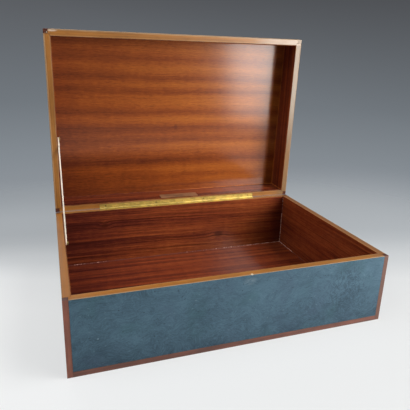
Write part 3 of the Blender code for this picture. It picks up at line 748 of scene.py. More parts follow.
def blue_veneer(name, body, seed, rough=0.5):
    """Stained burl: swirling short fibres, clouds of light and dark, pips and pale wear, painted
    light to the upper right, and darker towards the bottom.
    """
    finish = Finish(name)
    place = finish.place(body)
    swirl = finish.noise(place, (24, 24, 24), (seed, seed, seed), output="Color")
    bent = finish.stretch(swirl, (0.05, 0.05, 0.05), place)
    cloud = finish.noise(place, (11, 11, 15), (seed, 0, 0), detail=3.0)
    patch = finish.noise(bent, (50, 50, 80), (0, seed, 0), detail=3.0, rough=0.6)
    fibre = finish.noise(bent, (170, 170, 620), (seed, 0, seed), detail=3.0, rough=0.65)
    fine = finish.noise(bent, (600, 600, 2100), (seed, seed, 0), rough=0.6)
    dash = finish.noise(place, (120, 120, 560), (seed, 0, 2.0), detail=1.0)
    dashes = finish.step(dash, 0.64, 0.76)
    pip = finish.noise(place, (260, 260, 420), (0, 0, seed), detail=1.0)
    pips = finish.step(pip, 0.72, 0.80)
    spot = finish.noise(place, (240, 240, 420), (seed, 0, 4.0), detail=0.0)
    spots = finish.step(spot, 0.74, 0.84)
    to_right, back, height = finish.split(place)
    # Painted light: the veneer a little lighter to the right and towards the top
    fade_and_painted_light = finish.step(to_right, -0.12, 0.12) * finish.step(height, 0.0, 0.09) * 0.06
    # Darker towards the bottom
    darker_low = (1 - finish.step(height, 0.0, 0.065)) * 0.07
    tone = (
        0.5 - darker_low + fade_and_painted_light
        + (cloud - 0.5) * 0.34
        + (patch - 0.5) * 0.24
        + (fibre - 0.5) * 0.27
        + (fine - 0.5) * 0.32
    )
    wood = woods()
    dark, light = tuple(wood.blue_dark), tuple(wood.blue_light)
    middle = tuple((a + b) / 2 for a, b in zip(dark, light))
    colour = finish.ramp(
        tone, ((0.2, shadow_tone(dark, 0.75)), (0.36, dark), (0.5, middle), (0.66, light))
    )
    tint = finish.noise(place, (26, 26, 26), (7.0, seed, 0))
    colour = finish.mix(finish.step(tint, 0.5, 0.75) * 0.25, colour, COOL_TINT)
    colour = finish.mix((1 - finish.step(tint, 0.25, 0.46)) * 0.25, colour, GREEN_TINT)
    colour = finish.mix(dashes * 0.3, colour, shadow_tone(dark, 0.7))
    colour = finish.mix(pips * 0.6, colour, shadow_tone(dark, 0.4))
    colour = finish.mix(spots * 0.2, colour, PALE_SPOT)
    if body == "base":
        rubbed = finish.near(place, *SMUDGE) * finish.step(fibre, 0.36, 0.62)
        colour = finish.mix(rubbed * 0.34, colour, SMUDGE_COLOUR)
        colour = finish.mix(finish.near(place, *SPECK) * 0.4, colour, SPECK_COLOUR)
    curl = finish.noise(place, (520, 520, 240), (seed, 3.0, 0), detail=1.0, twist=1.2)
    curls = finish.step(curl, 0.50, 0.60) * finish.near(place, *CURL)
    colour = finish.mix(curls * 0.45, colour, shadow_tone(dark, 0.75))
    arris = rim_mask(finish, body, VENEER_EDGE)
    at_back = finish.step(back, HALF_DEPTH - 0.003, HALF_DEPTH - 0.001)
    edge_colour = finish.mix(at_back, tuple(wood.arris), shadow_tone(wood.rim, 0.8))
    colour = finish.mix(arris, colour, edge_colour)
    if body == "base":
        colour = finish.mix(finish.near(place, *CHIP), colour, CHIP_COLOUR)
    finish.shade(
        Base_Color=colour,
        Roughness=rough + fine * 0.2 + arris * 0.3,
        Specular_IOR_Level=0.1,
        Normal=finish.bump(fibre * 0.6 + fine * 0.4, 0.00005, 0.5),
        Coat_Weight=(1 - arris) * 0.06,
        Coat_Roughness=0.4,
    )
    return finish


BRASS_SPOT = seen(112, 86, 44)
WIRE_DARK = seen(96, 90, 82)
WIRE_LIGHT = seen(170, 164, 154)


def brass(name, tarnish=0.5, share=1.0):
    """Rolled brass: fine lines along it, dull patches and small dark spots."""
    finish = Finish(name)
    place = finish.place("base")
    line = finish.noise(place, (40, 2400, 2400), (2, 0, 0))
    patch = finish.noise(place, (70, 140, 140), (5, 0, 0), detail=3.0, rough=0.6)
    spot = finish.noise(place, (420, 520, 520), (9, 0, 0), detail=1.0)
    colour = shadow_tone(fittings().brass, share)
    dull = finish.step(patch, 0.42, 0.62) * tarnish
    shade = finish.mix(dull, colour, shadow_tone(colour, 0.4))
    shade = finish.mix(finish.step(spot, 0.66, 0.76) * 0.45, shade, BRASS_SPOT)
    finish.shade(
        Base_Color=shade,
        Metallic=1.0,
        Roughness=0.45 + dull * 0.2 + line * 0.1,
        Normal=finish.bump(line, 0.00002, 0.4),
    )
    return finish


def drawn_steel():
    """The pin's wire."""
    finish = Finish("pin_wire")
    line = finish.noise(finish.place("base"), (60, 2600, 2600))
    colour = finish.ramp(line, ((0.35, WIRE_DARK), (0.65, WIRE_LIGHT)))
    finish.shade(Base_Color=colour, Metallic=1.0, Roughness=0.3 + line * 0.2)
    return finish


def plate_finish():
    """The bare plate: dulled metal with soft clouds and fine scratches."""
    finish = Finish("plate_dulled")
    place = finish.place("lid")
    cloud = finish.noise(place, (60, 60, 110), (3, 0, 0), detail=3.0, rough=0.6)
    scratch = finish.noise(place, (60, 900, 2400), (0, 3, 0))
    colour = tuple(fittings().plate_colour)
    shade = finish.ramp(
        cloud, ((0.34, shadow_tone(colour, 0.6)), (0.55, colour), (0.72, shadow_tone(colour, 1.25)))
    )
    finish.shade(
        Base_Color=shade,
        Metallic=0.35,
        Roughness=0.36 + cloud * 0.3,
        Normal=finish.bump(scratch, 0.00002, 0.4),
    )
    return finish


def cotton(name):
    """Twisted cotton: soft, pale, a little grey between its threads."""
    finish = Finish(name)
    place = finish.place("base")
    fibre = finish.noise(place, (2600, 2600, 2600))
    grime = finish.noise(place, (60, 60, 60), (4, 0, 0))
    colour = tuple(fittings().cord_colour)
    shade = finish.ramp(
        fibre * 0.6 + grime * 0.4, ((0.36, shadow_tone(colour, 0.62)), (0.56, colour))
    )
    finish.shade(Base_Color=shade, Roughness=0.9, Normal=finish.bump(fibre, 0.00006, 0.6))
    return finish


def old_glue():
    """Old brown glue, with paler crumbs."""
    finish = Finish("old_glue")
    crumb = finish.noise(finish.place("base"), (420, 420, 420))
    colour = tuple(woods().glue)
    shade = finish.ramp(
        crumb, ((0.35, shadow_tone(colour, 0.5)), (0.55, colour), (0.72, shadow_tone(colour, 2.0)))
    )
    finish.shade(Base_Color=shade, Roughness=0.7)
    return finish


# Where the inner seams' glue is thickest, as (place, reach)
THICK_SEAM = ((0.17, 0.124, 0.01), (0.11, 0.05, 0.085))


def crumbly_glue():
    """Pale glue in crumbs and short runs between stretches stained as brown as the lining."""
    finish = Finish("pale_glue")
    place = finish.place("base")
    crumb = finish.noise(place, (330, 330, 330))
    stretch = finish.noise(place, (24, 24, 40), (3, 0, 8))
    shown = crumb * 0.5 + stretch * 0.5 + finish.near(place, *THICK_SEAM) * 0.14
    pale, brown = tuple(woods().filler), tuple(woods().lining_dark)
    shade = finish.mix(finish.step(shown, 0.54, 0.66), brown, pale)
    finish.shade(Base_Color=shade, Roughness=0.65, Coat_Weight=0.4, Coat_Roughness=0.3)
    return finish


def gathered_varnish():
    """Clear varnish gathered in the lid's corners, over its brown wood, lighter to the right as
    painted sheen.
    """
    finish = Finish("gathered_varnish")
    place = finish.place("lid")
    to_right, _, _ = finish.split(place)
    drift = finish.noise(place, (90, 90, 90), (6, 0, 0))
    # Painted sheen: the varnish lighter towards the right
    drift = drift * 0.5 + finish.step(to_right, -0.12, 0.16) * 0.45
    dark, light = tuple(woods().lining_dark), tuple(woods().lining_light)
    shade = finish.ramp(drift, ((0.25, dark), (0.65, light)))
    finish.shade(Base_Color=shade, Roughness=0.55, Specular_IOR_Level=0.2)
    return finish


def joined(parts):
    """Several parts' points and faces as those of one."""
    points, faces = [], []
    start = 0
    for more, corners in parts:
        points.append(more)
        faces += [[start + corner for corner in face] for face in corners]
        start += len(more)
    return np.concatenate(points), faces


def ring_faces(rings, sides):
    """Faces of rings of points that follow each other: the quads between them, each from two
    neighbours on one ring and the same two on the next, and one face at each end."""
    row = np.arange(rings - 1)[:, None] * sides
    column = np.arange(sides)
    after = (column + 1) % sides
    quads = np.stack([row + column, row + after, row + after + sides, row + column + sides], -1)
    ends = np.array([column[::-1], (rings - 1) * sides + column])
    return quads.reshape(-1, 4), ends


# A box's faces, by corners numbered with 1 for high X, 2 for high Y and 4 for high Z
BOX_FACES = (
    (0, 2, 3, 1), (4, 5, 7, 6), (0, 1, 5, 4), (2, 6, 7, 3), (0, 4, 6, 2), (1, 3, 7, 5),
)


def bars(boxes):
    """Boxes from their lowest and highest corners: each corner is the lowest plus a share,
    0 or 1 along each axis, of the way to the highest."""
    boxes = np.asarray(boxes, float)
    shares = np.array([[(n >> axis) & 1 for axis in range(3)] for n in range(8)])
    points = boxes[:, None, 0] + shares[None] * (boxes[:, None, 1] - boxes[:, None, 0])
    faces = np.array(BOX_FACES)[None] + 8 * np.arange(len(boxes))[:, None, None]
    return points.reshape(-1, 3), faces.reshape(-1, 4).tolist()


def glue_boxes(rim, deepens, shoulder, sheet, lining_foot):
    """The thin glue lines of one tray, with the box shut: those of the rim and the strips,
    then those inside. Each lies in the gap between two pieces, a little back from the faces.

    Deepens is the way from the rim into the tray, 1 up or -1 down."""
    slack = GAP * 0.08
    back = GAP * 0.25
    depth = GAP * 6
    outer, inner_seams = [], []

    def add(x0, x1, y0, y1, z0, z1, into=outer):
        pairs = ((x0, x1), (y0, y1), (z0, z1))
        into.append(([min(pair) for pair in pairs], [max(pair) for pair in pairs]))

    top = rim + deepens * back
    low = top + deepens * depth
    far_edge = (0.0 if deepens < 0 else LID_TOP) - deepens * back
    run_x = HALF_WIDTH - STRIP_WIDTH - GAP
    run_y = HALF_DEPTH - STRIP_WIDTH - GAP
    gap_z = (shoulder - deepens * slack, shoulder - deepens * (GAP - slack))
    foot = (sheet - deepens * slack, lining_foot + deepens * slack)
    for sign in (-1, 1):
        face_x, face_y = sign * HALF_WIDTH, sign * HALF_DEPTH
        for start, end in ((VENEER_IN, BOARD_OUT), (BOARD_IN, LINING_OUT)):
            near, far = start + slack, end - slack
            stop_x = run_x if start < STRIP_WIDTH else HALF_WIDTH - LINING_OUT
            stop_y = run_y if start < STRIP_WIDTH else HALF_DEPTH - BOARD_IN
            add(-stop_x, stop_x, face_y - sign * near, face_y - sign * far, top, low)
            add(face_x - sign * near, face_x - sign * far, -stop_y, stop_y, top, low)
        for other in (-1, 1):
            edge_x = other * (HALF_WIDTH - STRIP_WIDTH)
            edge_y = other * (HALF_DEPTH - STRIP_WIDTH)
            gap_x = (edge_x - other * slack, edge_x - other * (GAP - slack))
            gap_y = (edge_y - other * slack, edge_y - other * (GAP - slack))
            add(*gap_x, face_y - sign * back, face_y - sign * STRIP_WIDTH, top, far_edge)
            add(face_x - sign * back, face_x - sign * STRIP_WIDTH, *gap_y, top, far_edge)
        add(-run_x, run_x, face_y - sign * back, face_y - sign * depth, *gap_z)
        add(face_x - sign * back, face_x - sign * depth, -run_y, run_y, *gap_z)
        inner_x = (face_x - sign * (WALL - back), face_x - sign * LINING_OUT)
        inner_y = (face_y - sign * (WALL - back), face_y - sign * LINING_OUT)
        reach_x = HALF_WIDTH - LINING_OUT
        add(-reach_x, reach_x, *inner_y, *foot, inner_seams)
        add(*inner_x, -INSIDE_Y, INSIDE_Y, *foot, inner_seams)
        for other in (-1, 1):
            corner_y = other * INSIDE_Y
            gap_y = (corner_y - other * slack, corner_y - other * (GAP - slack))
            add(*inner_x, *gap_y, top, lining_foot, inner_seams)
    return outer, inner_seams


# The beads of old glue and varnish in the inner corners: their size, the steps along them, and
# how far below the rim they end
BASE_BEAD = 0.0007
LID_BEAD = 0.0009
BEAD_STEP = 0.0015
BEAD_END = 0.0006
BEAD_WAVES = (190.0, 520.0, 1270.0)


def bead(start, end, side_a, side_b, radius, seed):
    """A hollow fillet along a corner line: at each point of the line the corner plus
    r ((1 - cos t) a + (1 - sin t) b) with t from 0 to a right angle, where a and b lead along
    the two faces, and r swells and thins along the line in three slow waves."""
    start, end = np.asarray(start), np.asarray(end)
    side_a, side_b = np.asarray(side_a), np.asarray(side_b)
    length = math.dist(start, end)
    count = max(8, round(length / BEAD_STEP))
    share = np.linspace(0, 1, count)
    line = start + share[:, None] * (end - start)
    waves = sum(np.sin(share * length * pitch + seed * pitch) for pitch in BEAD_WAVES)
    swell = radius * (0.8 + 0.16 * waves)
    angle = np.linspace(0, math.pi / 2, 5)[:, None]
    arc = (1 - np.cos(angle)) * side_a + (1 - np.sin(angle)) * side_b
    ring = np.concatenate([arc, [-0.05 * (side_a + side_b)]])
    points = (line[:, None] + swell[:, None, None] * ring[None]).reshape(-1, 3)
    quads, ends = ring_faces(count, len(ring))
    if np.dot(np.cross(side_a, side_b), end - start) > 0:
        quads, ends = quads[:, ::-1], ends[:, ::-1]
    return points, quads.tolist() + ends.tolist()


def corner_beads(deepens, sheet, rim, radius):
    """Beads round a tray's sheet and up its four corners, with the box shut."""
    rise = (0.0, 0.0, float(-deepens))
    top = rim + deepens * BEAD_END
    runs = []
    for sign in (-1, 1):
        across_x, across_y = (-float(sign), 0.0, 0.0), (0.0, -float(sign), 0.0)
        x, y = sign * INSIDE_X, sign * INSIDE_Y
        runs.append(((-INSIDE_X, y, sheet), (INSIDE_X, y, sheet), across_y, rise))
        runs.append(((x, -INSIDE_Y, sheet), (x, INSIDE_Y, sheet), across_x, rise))
        for other in (-1, 1):
            corner = (x, other * INSIDE_Y)
            inward = (0.0, -float(other), 0.0)
            runs.append(((*corner, sheet), (*corner, top), across_x, inward))
    return joined([bead(*run, radius, 1.7 * number) for number, run in enumerate(runs)])


def tube(path, radius, sides, binormal, normals):
    """A round tube carried along a path: at each point the path plus radius times
    (cos u * normal + sin u * binormal). The ends are closed by one face each."""
    angle = np.linspace(0, math.tau, sides, endpoint=False)[None, :, None]
    ring = np.cos(angle) * normals[:, None] + np.sin(angle) * binormal
    quads, ends = ring_faces(len(path), sides)
    return (path[:, None] + radius * ring).reshape(-1, 3), quads.tolist() + ends.tolist()


def along_path(path, spacing):
    """A path laid out again with even steps."""
    steps = np.linalg.norm(np.diff(path, axis=0), axis=1)
    travelled = np.concatenate([[0], np.cumsum(steps)])
    wanted = np.linspace(0, travelled[-1], max(2, round(travelled[-1] / spacing) + 1))
    return np.stack([np.interp(wanted, travelled, path[:, axis]) for axis in range(3)], -1), wanted


def path_normals(path, binormal):
    """A flat path's normals, square to its plane's normal and to its own run."""
    tangent = np.gradient(path, axis=0)
    tangent /= np.linalg.norm(tangent, axis=1, keepdims=True)
    return np.cross(binormal, tangent)


# The stay lies in a plane square to this
STAY_ACROSS = np.array([1.0, 0.0, 0.0])
# How far an eye's neck is from the screw, how far apart the tail and the cord lie there, in
# diameters, and the cord's clearance round the screw
EYE_NECK = 0.0085
TAIL_SPACING_SHARE = 1.04
STAY_CLEARANCE = 0.0003
# Strands swell a little into each other
STRAND_SWELL = 1.06
# The whipping's thread, in cord diameters, and the spacing of its turns, in threads
THREAD_SHARE = 0.065
TURN_SPACING = 2.05


def stay_centres():
    """The middles of the two eyes, at the screws, in the plane that the cord lies in."""
    spans = [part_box(node) for node in ("stay_screw_base", "stay_screw_lid")]
    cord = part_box("stay_cord")
    middle_x = (cord[0][0] + cord[1][0]) / 2
    return [
        np.array([middle_x, (low[1] + high[1]) / 2, (low[2] + high[2]) / 2]) for low, high in spans
    ]


def shank_radius(centre):
    """The stay screws' shank, as wide as the middle of the base's screw."""
    points = node_points("stay_screw_base")
    inside = points[points[:, 0] > -INSIDE_X]
    reach = np.hypot(inside[:, 1] - centre[1], inside[:, 2] - centre[2])
    return float(reach[reach > EYE_NECK / 20].min())


def eye_route(centre, along, aside, radius, diameter, whipping):
    """One eye, from its tail's end beside the cord, round the screw to the cord's own line.

    The tail lies a little over a diameter beside the cord, swings across in a smooth step
    and goes half round the screw."""
    tail_side = radius - diameter * TAIL_SPACING_SHARE
    share = np.linspace(0, 1, 14)
    smooth = share * share * (3 - 2 * share)
    side = np.concatenate([[tail_side], tail_side + (-radius - tail_side) * smooth])
    up = np.concatenate([[EYE_NECK + whipping], EYE_NECK * (1 - share)])
    angle = np.linspace(math.pi, math.tau, 20)[1:]
    side = np.concatenate([side, radius * np.cos(angle)])
    up = np.concatenate([up, radius * np.sin(angle)])
    return centre + side[:, None] * aside + up[:, None] * along


def stay_route():
    """The stay's whole centreline, tail to tail, its eyes' centres and radius, and the
    directions along it and beside it."""
    low, high = stay_centres()
    span = high - low
    along = span / np.linalg.norm(span)
    aside = np.array([0.0, along[2], -along[1]])
    diameter = fittings().cord_diameter
    whipping = fittings().whipping_length
    radius = shank_radius(low) + STAY_CLEARANCE + diameter / 2
    lower = eye_route(low, along, aside, radius, diameter, whipping)
    upper = eye_route(high, -along, aside, radius, diameter, whipping)[::-1]
    return np.concatenate([lower, upper]), low, high, along, aside, radius


def stay_cord_piece(route):
    """Three strands, each a helix round the stay's line: the line plus the orbit times
    (cos p * normal + sin p * binormal), where p turns once in the cord's lay and the strands
    stay a third of a turn apart."""
    diameter = fittings().cord_diameter
    path, travelled = along_path(route, diameter / 4)
    normals = path_normals(path, STAY_ACROSS)
    strand = diameter / 2 / (1 + 2 / math.sqrt(3))
    orbit = diameter / 2 - strand
    strands = []
    for number in range(3):
        phase = math.tau * (travelled / fittings().cord_lay + number / 3)
        swing = np.cos(phase)[:, None] * normals + np.sin(phase)[:, None] * STAY_ACROSS
        line = path + orbit * swing
        strands.append(tube(line, strand * STRAND_SWELL, 8, STAY_ACROSS, normals))
    points, faces = joined(strands)
    finish = cotton("stay_cotton_laid")
    piece = surface("stay_cord_strands", points, faces, finish, None)
    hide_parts("stay_cord")
    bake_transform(piece)


def whipping_piece(name, body, centre, along, aside, radius):
    """Fine thread wound round the two parts of the cord at an eye's neck: an oval helix,
    whose long half axis reaches over both parts and whose short one over one."""
    diameter = fittings().cord_diameter
    length = fittings().whipping_length
    thread = diameter * THREAD_SHARE
    turns = int(length / (thread * TURN_SPACING))
    angle = np.linspace(0, math.tau * turns, turns * 20)
    half_long = diameter * (1 + TAIL_SPACING_SHARE) / 2 + thread
    half_short = diameter / 2 + thread
    middle = radius - diameter * TAIL_SPACING_SHARE / 2
    rise = EYE_NECK + length * angle / angle[-1]
    path = (
        centre
        + (middle + half_long * np.cos(angle))[:, None] * aside
        + rise[:, None] * along
        + (half_short * np.sin(angle))[:, None] * STAY_ACROSS
    )
    outward = np.cos(angle)[:, None] * aside + np.sin(angle)[:, None] * STAY_ACROSS
    points, faces = tube(path, thread, 5, along, outward)
    surface(name, points, faces, cotton(name + "_thread"), body)


class PAPERBOX_OT_carcase(bpy.types.Operator):
    """Dress the carcase boards, rails and panels in honey-coloured wood."""

    bl_idname = "paperbox.carcase"
    bl_label = "Carcase wood"

    def execute(self, context):
        for body, word, panel in (("base", "board", "floor"), ("lid", "rail", "top")):
            for side, turn in RUN_OF_SIDE.items():
                finish = honey_wood(f"honey_{body}_{side}", body, turn, seed_of(body, side))
                dress(f"{body}_{side}_{word}", finish)
            dress(f"{body}_{panel}_panel", honey_wood(f"honey_{body}_{panel}", body, FLAT, 2.0))
        return {"FINISHED"}


class PAPERBOX_OT_linings(bpy.types.Operator):
    """Dress the inside in striped mahogany, each sheet with its own run of stripes."""

    bl_idname = "paperbox.linings"
    bl_label = "Striped linings"

    def execute(self, context):
        dress("lid_top_lining", ribbon_wood("lining_lid_panel", "lid", FLAT, 3.0, LID_PANEL))
        for body in BODIES:
            for side, turn in RUN_OF_SIDE.items():
                look = SPECIAL_WALLS.get((body, side), BOLD_LINING)
                finish = ribbon_wood(f"lining_{body}_{side}", body, turn, seed_of(body, side), look)
                dress(f"{body}_{side}_lining", finish)
        floor = ribbon_wood("lining_base_floor", "base", FLAT, 23.0, FLOOR_SHEET)
        dress("base_floor_lining", floor)
        return {"FINISHED"}


class PAPERBOX_OT_veneers(bpy.types.Operator):
    """Dress the outside in blue stained burl."""

    bl_idname = "paperbox.veneers"
    bl_label = "Blue veneers"

    def execute(self, context):
        for body in BODIES:
            seed = 2.6 + BODY_SEED[body]
            finish = blue_veneer(f"blue_burl_{body}", body, seed)
            for side in RUN_OF_SIDE:
                dress(f"{body}_{side}_veneer", finish)
        dress("lid_top_veneer", blue_veneer("blue_burl_lid_top", "lid", seed, rough=0.7))
        return {"FINISHED"}


class PAPERBOX_OT_strips(bpy.types.Operator):
    """Dress the mahogany strips."""

    bl_idname = "paperbox.strips"
    bl_label = "Mahogany strips"

    def execute(self, context):
        for body in BODIES:
            upright = strip_wood(f"strip_{body}_corner", body, UPRIGHT, 4.0 + BODY_SEED[body])
            for y_word in ("front", "back"):
                for x_word in ("left", "right"):
                    dress(f"{body}_{y_word}_{x_word}_corner_strip", upright)
            for side, turn in RUN_OF_SIDE.items():
                seed = seed_of(body, side)
                finish = strip_wood(f"strip_{body}_{side}", body, turn, seed, EDGE_STRIP_SHADE)
                dress(f"{body}_{side}_edge_strip", finish)
        return {"FINISHED"}


class PAPERBOX_OT_glue_lines(bpy.types.Operator):
    """Fill the fine gaps between the woods with their glue lines."""

    bl_idname = "paperbox.glue_lines"
    bl_label = "Glue lines"

    def execute(self, context):
        glue = old_glue()
        pale_glue = crumbly_glue()
        varnish = gathered_varnish()
        lid_shoulder = LID_TOP - EDGE_STRIP_TOP
        trays = (
            ("base", BASE_RIM, -1, EDGE_STRIP_TOP, FLOOR_TOP, LINING_FOOT, BASE_BEAD, pale_glue),
            ("lid", LID_RIM, 1, lid_shoulder, LID_SHEET, LID_LINING_FOOT, LID_BEAD, varnish),
        )
        for body, rim, deepens, shoulder, sheet, foot, radius, gathered in trays:
            outer, inner = glue_boxes(rim, deepens, shoulder, sheet, foot)
            pieces = (
                ("glue_lines", bars(outer), glue, False),
                ("inner_seams", bars(inner), pale_glue, False),
                ("corner_beads", corner_beads(deepens, sheet, rim, radius), gathered, True),
            )
            for name, (points, faces), finish, smooth in pieces:
                points = turned_points(points, BODY_OPEN[body])
                surface(f"{body}_{name}", points, faces, finish, body, smooth)
        return {"FINISHED"}


class PAPERBOX_OT_hinge(bpy.types.Operator):
    """Dress the piano hinge, its pin and its screws."""

    bl_idname = "paperbox.hinge"
    bl_label = "Piano hinge"

    def execute(self, context):
        leaf = brass("hinge_brass_rolled")
        screw = brass("screw_brass_turned", tarnish=0.8, share=0.7)
        for body in BODIES:
            dress(f"hinge_{body}_leaf", leaf)
            for number in range(1, 5):
                dress(f"hinge_{body}_screw_{number}", screw)
        dress("hinge_pin", drawn_steel())
        return {"FINISHED"}


class PAPERBOX_OT_stay(bpy.types.Operator):
    """Make the stay cord, its whippings and the finish of its screws."""

    bl_idname = "paperbox.stay"
    bl_label = "Stay cord"

    def execute(self, context):
        screw = brass("stay_screw_brass", tarnish=0.8, share=0.5)
        dress("stay_screw_base", screw)
        dress("stay_screw_lid", screw)
        route, low, high, along, aside, radius = stay_route()
        stay_cord_piece(route)
        whipping_piece("stay_whipping_base", "base", low, along, aside, radius)
        whipping_piece("stay_whipping_lid", "lid", high, -along, aside, radius)
        return {"FINISHED"}


class PAPERBOX_OT_plate(bpy.types.Operator):
    """Dress the bare plate inside the lid."""

    bl_idname = "paperbox.plate"
    bl_label = "Bare plate"

    def execute(self, context):
        dress("lid_blank_plate", plate_finish())
        return {"FINISHED"}


# The photograph's camera, found from the box's own edges
CAMERA_PLACE = (-0.19983, -0.54221, 0.33015)
CAMERA_YAW = math.radians(-18.915)
CAMERA_PITCH = math.radians(16.902)
CAMERA_ROLL = math.radians(1.653)
FRAME_PIXELS = 410
CENTRE_PIXEL = (198.297, 189.904)
SENSOR_MILLIMETRES = 36


def add_camera(lens):
    """A camera that looks along yaw, then down by pitch, then rolled about its own axis."""
    data = bpy.data.cameras.new("photo_camera")
    data.sensor_width = SENSOR_MILLIMETRES
    data.lens = lens
    data.shift_x = (FRAME_PIXELS / 2 - CENTRE_PIXEL[0]) / FRAME_PIXELS
    data.shift_y = (CENTRE_PIXEL[1] - FRAME_PIXELS / 2) / FRAME_PIXELS
    camera = bpy.data.objects.new("photo_camera", data)
    turn = (
        Matrix.Rotation(CAMERA_YAW, 4, "Z")
        @ Matrix.Rotation(math.pi / 2 - CAMERA_PITCH, 4, "X")
        @ Matrix.Rotation(CAMERA_ROLL, 4, "Z")
    )
    camera.matrix_world = Matrix.Translation(CAMERA_PLACE) @ turn
    bpy.context.collection.objects.link(camera)
    bpy.context.scene.camera = camera


# Soft lamps that face the box: place, size and colour. Their watts are settings.
LAMP_TARGET = (0.0, 0.05, 0.15)
WARM_WHITE = (1.0, 0.985, 0.96)
COOL_WHITE = (0.97, 0.985, 1.0)
LAMPS = {
    "key": ((0.885, -0.80, 0.39), (0.82, 0.88), WARM_WHITE),
    "top": ((0.95, -0.35, 1.7), (0.7, 0.7), COOL_WHITE),
    "side": ((-0.75, -0.1, 1.1), (0.8, 0.8), COOL_WHITE),
    "back": ((-0.4, 1.3, 0.8), (0.8, 0.8), COOL_WHITE),
}


def add_lamp(name, place, size, colour, watts):
    """A rectangular soft lamp that faces the box."""
    data = bpy.data.lights.new(name, "AREA")
    data.shape = "RECTANGLE"
    data.size, data.size_y = size
    data.energy = watts
    data.color = colour
    lamp = bpy.data.objects.new(name, data)
    lamp.location = place
    facing = Vector(LAMP_TARGET) - Vector(place)
    lamp.rotation_euler = facing.to_track_quat("-Z", "Y").to_euler()
    bpy.context.collection.objects.link(lamp)


FLOOR_REACH = 2.4
FLOOR_RINGS = 12
FLOOR_SIDES = 96
FLOOR_FADE = (0.45, 1.1)
FLOOR_DROP = 0.0001
FLOOR_COLOUR = (0.25, 0.252, 0.252)
# What the floor shows of itself to the eye and in reflections, besides the light on it, and
# how much less of it there is to the right
FLOOR_GLOW = (0.545, 0.55, 0.55)
GLOW_LEAN = 0.37
# How the floor turns to the backdrop's grey, going back and, near the box, to the right
BACKDROP_LEAN = (0.10, 0.50, 0.27)
BACKDROP_REACH = (-0.10, 1.10)
BACKDROP_SHARES = (
    (-0.05, 1.00), (0.035, 0.945), (0.10, 0.79), (0.13, 0.75), (0.20, 0.60), (0.25, 0.545),
    (0.36, 0.515), (0.50, 0.43), (0.68, 0.34), (1.00, 0.30),
)
# The backdrop turns a little blue as it darkens, by these powers of red, green and blue
BACKDROP_POWERS = (1.08, 1, 0.92)


def add_floor():
    """A round pale floor, flat at the underside's height, that fades into the room: rings of
    points at rising radii, each a circle of the same angles."""
    radii = FLOOR_REACH * np.linspace(0, 1, FLOOR_RINGS + 1)[1:]
    angle = np.linspace(0, math.tau, FLOOR_SIDES, endpoint=False)
    ring = np.stack([np.cos(angle), np.sin(angle), np.zeros_like(angle)], -1)
    points = np.concatenate([[[0.0, 0.0, 0.0]], (radii[:, None, None] * ring).reshape(-1, 3)])
    points[:, 2] -= FLOOR_DROP
    column = np.arange(FLOOR_SIDES)
    fan = np.stack([np.zeros_like(column), 1 + column, 1 + (column + 1) % FLOOR_SIDES], -1)
    quads, _ = ring_faces(FLOOR_RINGS, FLOOR_SIDES)
    upward = quads[:, [0, 3, 2, 1]]
    faces = fan.tolist() + (1 + upward).tolist()
    finish = Finish("pale_floor")
    place = finish.node("ShaderNodeTexCoord", output="Object")
    to_right, back, _ = finish.split(place)
    low, high = BACKDROP_REACH
    lean_start, lean_end, lean = BACKDROP_LEAN
    slant = to_right * lean * (1 - finish.step(back, lean_start, lean_end))
    shares = finish.ramp((back + slant - low) * (1 / (high - low)), [
        ((gone_back - low) / (high - low), tuple(share ** power for power in BACKDROP_POWERS))
        for gone_back, share in BACKDROP_SHARES
    ])
    eye, mirror, glass = (
        finish.node("ShaderNodeLightPath", output=f"Is {ray} Ray")
        for ray in ("Camera", "Glossy", "Transmission")
    )
    shown = finish.maths("ADD", eye + mirror, glass, use_clamp=True)
    pale = finish.step(finish.red_of(shares), 0.4, 1.0)
    glow = finish.node(
        "ShaderNodeVectorMath", {"operation": "SCALE"},
        {0: finish.stretch(shares, FLOOR_GLOW), "Scale": 1 - to_right * pale * GLOW_LEAN},
    )
    finish.shade(
        Base_Color=finish.stretch(shares, FLOOR_COLOUR),
        Roughness=0.75,
        Specular_IOR_Level=0.2,
        Alpha=1 - finish.step(finish.length(place), *FLOOR_FADE),
        Emission_Color=finish.mix(shown, (0, 0, 0), glow),
        Emission_Strength=1.0,
    )
    surface("studio_floor", points, faces, finish, None)


# The room's greys, by the height of the direction looked in: the floor's level, and overhead
ROOM_GREYS = (
    (0.25, (0.75, 0.76, 0.76)), (0.30, (0.46, 0.47, 0.49)), (0.37, (0.252, 0.28, 0.308)),
    (0.45, (0.16, 0.18, 0.20)), (0.56, (0.095, 0.10, 0.11)),
)
# Where the room turns darker towards the front, and its brightness there
ROOM_FRONT = (-0.6, -0.2, 0.5)
# How it turns darker to the right and, three times as fast, overhead: where, and from which
# brightness to which
ROOM_SIDE = (0.3, 1.1, 1.04, 0.80)
ROOM_HEIGHT_SHARE = 3


def add_room(ambient):
    """A plain grey room, paler towards the floor."""
    world = bpy.data.worlds.new("grey_room")
    world.use_nodes = True
    nodes = Nodes(world.node_tree)
    background = nodes.tree.nodes["Background"]
    direction = nodes.node("ShaderNodeTexCoord", output="Generated")
    to_right, back, up = nodes.split(direction)
    height = nodes.step(up, -1, 1, curve="LINEAR")
    front = nodes.step(back, *ROOM_FRONT, ambient)
    high_right = nodes.maths("MULTIPLY_ADD", up, ROOM_HEIGHT_SHARE, to_right)
    side = nodes.step(high_right, *ROOM_SIDE, curve="LINEAR")
    nodes.feed(background.inputs["Color"], nodes.ramp(height, ROOM_GREYS))
    nodes.feed(background.inputs["Strength"], front * side)
    bpy.context.scene.world = world


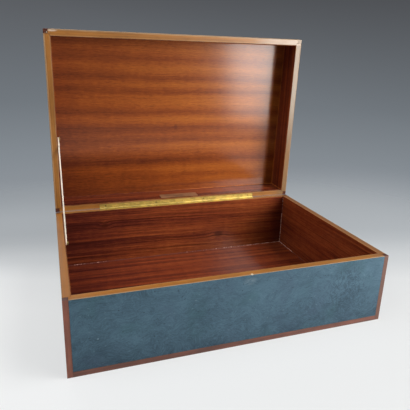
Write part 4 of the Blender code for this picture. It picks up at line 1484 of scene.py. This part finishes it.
class PAPERBOX_OT_stage(bpy.types.Operator):
    """Make the floor, the lamps, the room and the camera."""

    bl_idname = "paperbox.stage"
    bl_label = "Studio"

    def execute(self, context):
        studio = context.scene.paper_box_studio
        add_floor()
        for name, (place, size, colour) in LAMPS.items():
            add_lamp(f"{name}_lamp", place, size, colour, getattr(studio, f"{name}_watts"))
        add_room(studio.ambient)
        add_camera(studio.lens)
        context.scene.view_settings.view_transform = "Standard"
        return {"FINISHED"}


class PAPERBOX_PT_panel(bpy.types.Panel):
    """Lists the steps in the order in which they run."""

    bl_idname = "PAPERBOX_PT_panel"
    bl_label = "Paper box"
    bl_space_type = "VIEW_3D"
    bl_region_type = "UI"
    bl_category = "Paper box"

    def draw(self, context):
        for group in SETTINGS:
            column = self.layout.column(align=True)
            settings = getattr(context.scene, group)
            for name in settings.__annotations__:
                column.prop(settings, name)
        for operator in OPERATORS:
            self.layout.operator(operator.bl_idname)


OPERATORS = (
    PAPERBOX_OT_stage,
    PAPERBOX_OT_carcase,
    PAPERBOX_OT_linings,
    PAPERBOX_OT_veneers,
    PAPERBOX_OT_strips,
    PAPERBOX_OT_glue_lines,
    PAPERBOX_OT_hinge,
    PAPERBOX_OT_stay,
    PAPERBOX_OT_plate,
)
SETTINGS = {
    "paper_box_woods": PaperBoxWoods,
    "paper_box_fittings": PaperBoxFittings,
    "paper_box_studio": PaperBoxStudio,
}


def register():
    for name, group in SETTINGS.items():
        bpy.utils.register_class(group)
        setattr(bpy.types.Scene, name, bpy.props.PointerProperty(type=group))
    for each in (*OPERATORS, PAPERBOX_PT_panel):
        bpy.utils.register_class(each)


def unregister():
    for each in (PAPERBOX_PT_panel, *reversed(OPERATORS)):
        bpy.utils.unregister_class(each)
    for name, group in reversed(SETTINGS.items()):
        delattr(bpy.types.Scene, name)
        bpy.utils.unregister_class(group)


def main():
    register()
    bpy.ops.paperbox.stage()
    bpy.ops.paperbox.carcase()
    bpy.ops.paperbox.linings()
    bpy.ops.paperbox.veneers()
    bpy.ops.paperbox.strips()
    bpy.ops.paperbox.glue_lines()
    bpy.ops.paperbox.hinge()
    bpy.ops.paperbox.stay()
    bpy.ops.paperbox.plate()


if __name__ == "__main__":
    main()
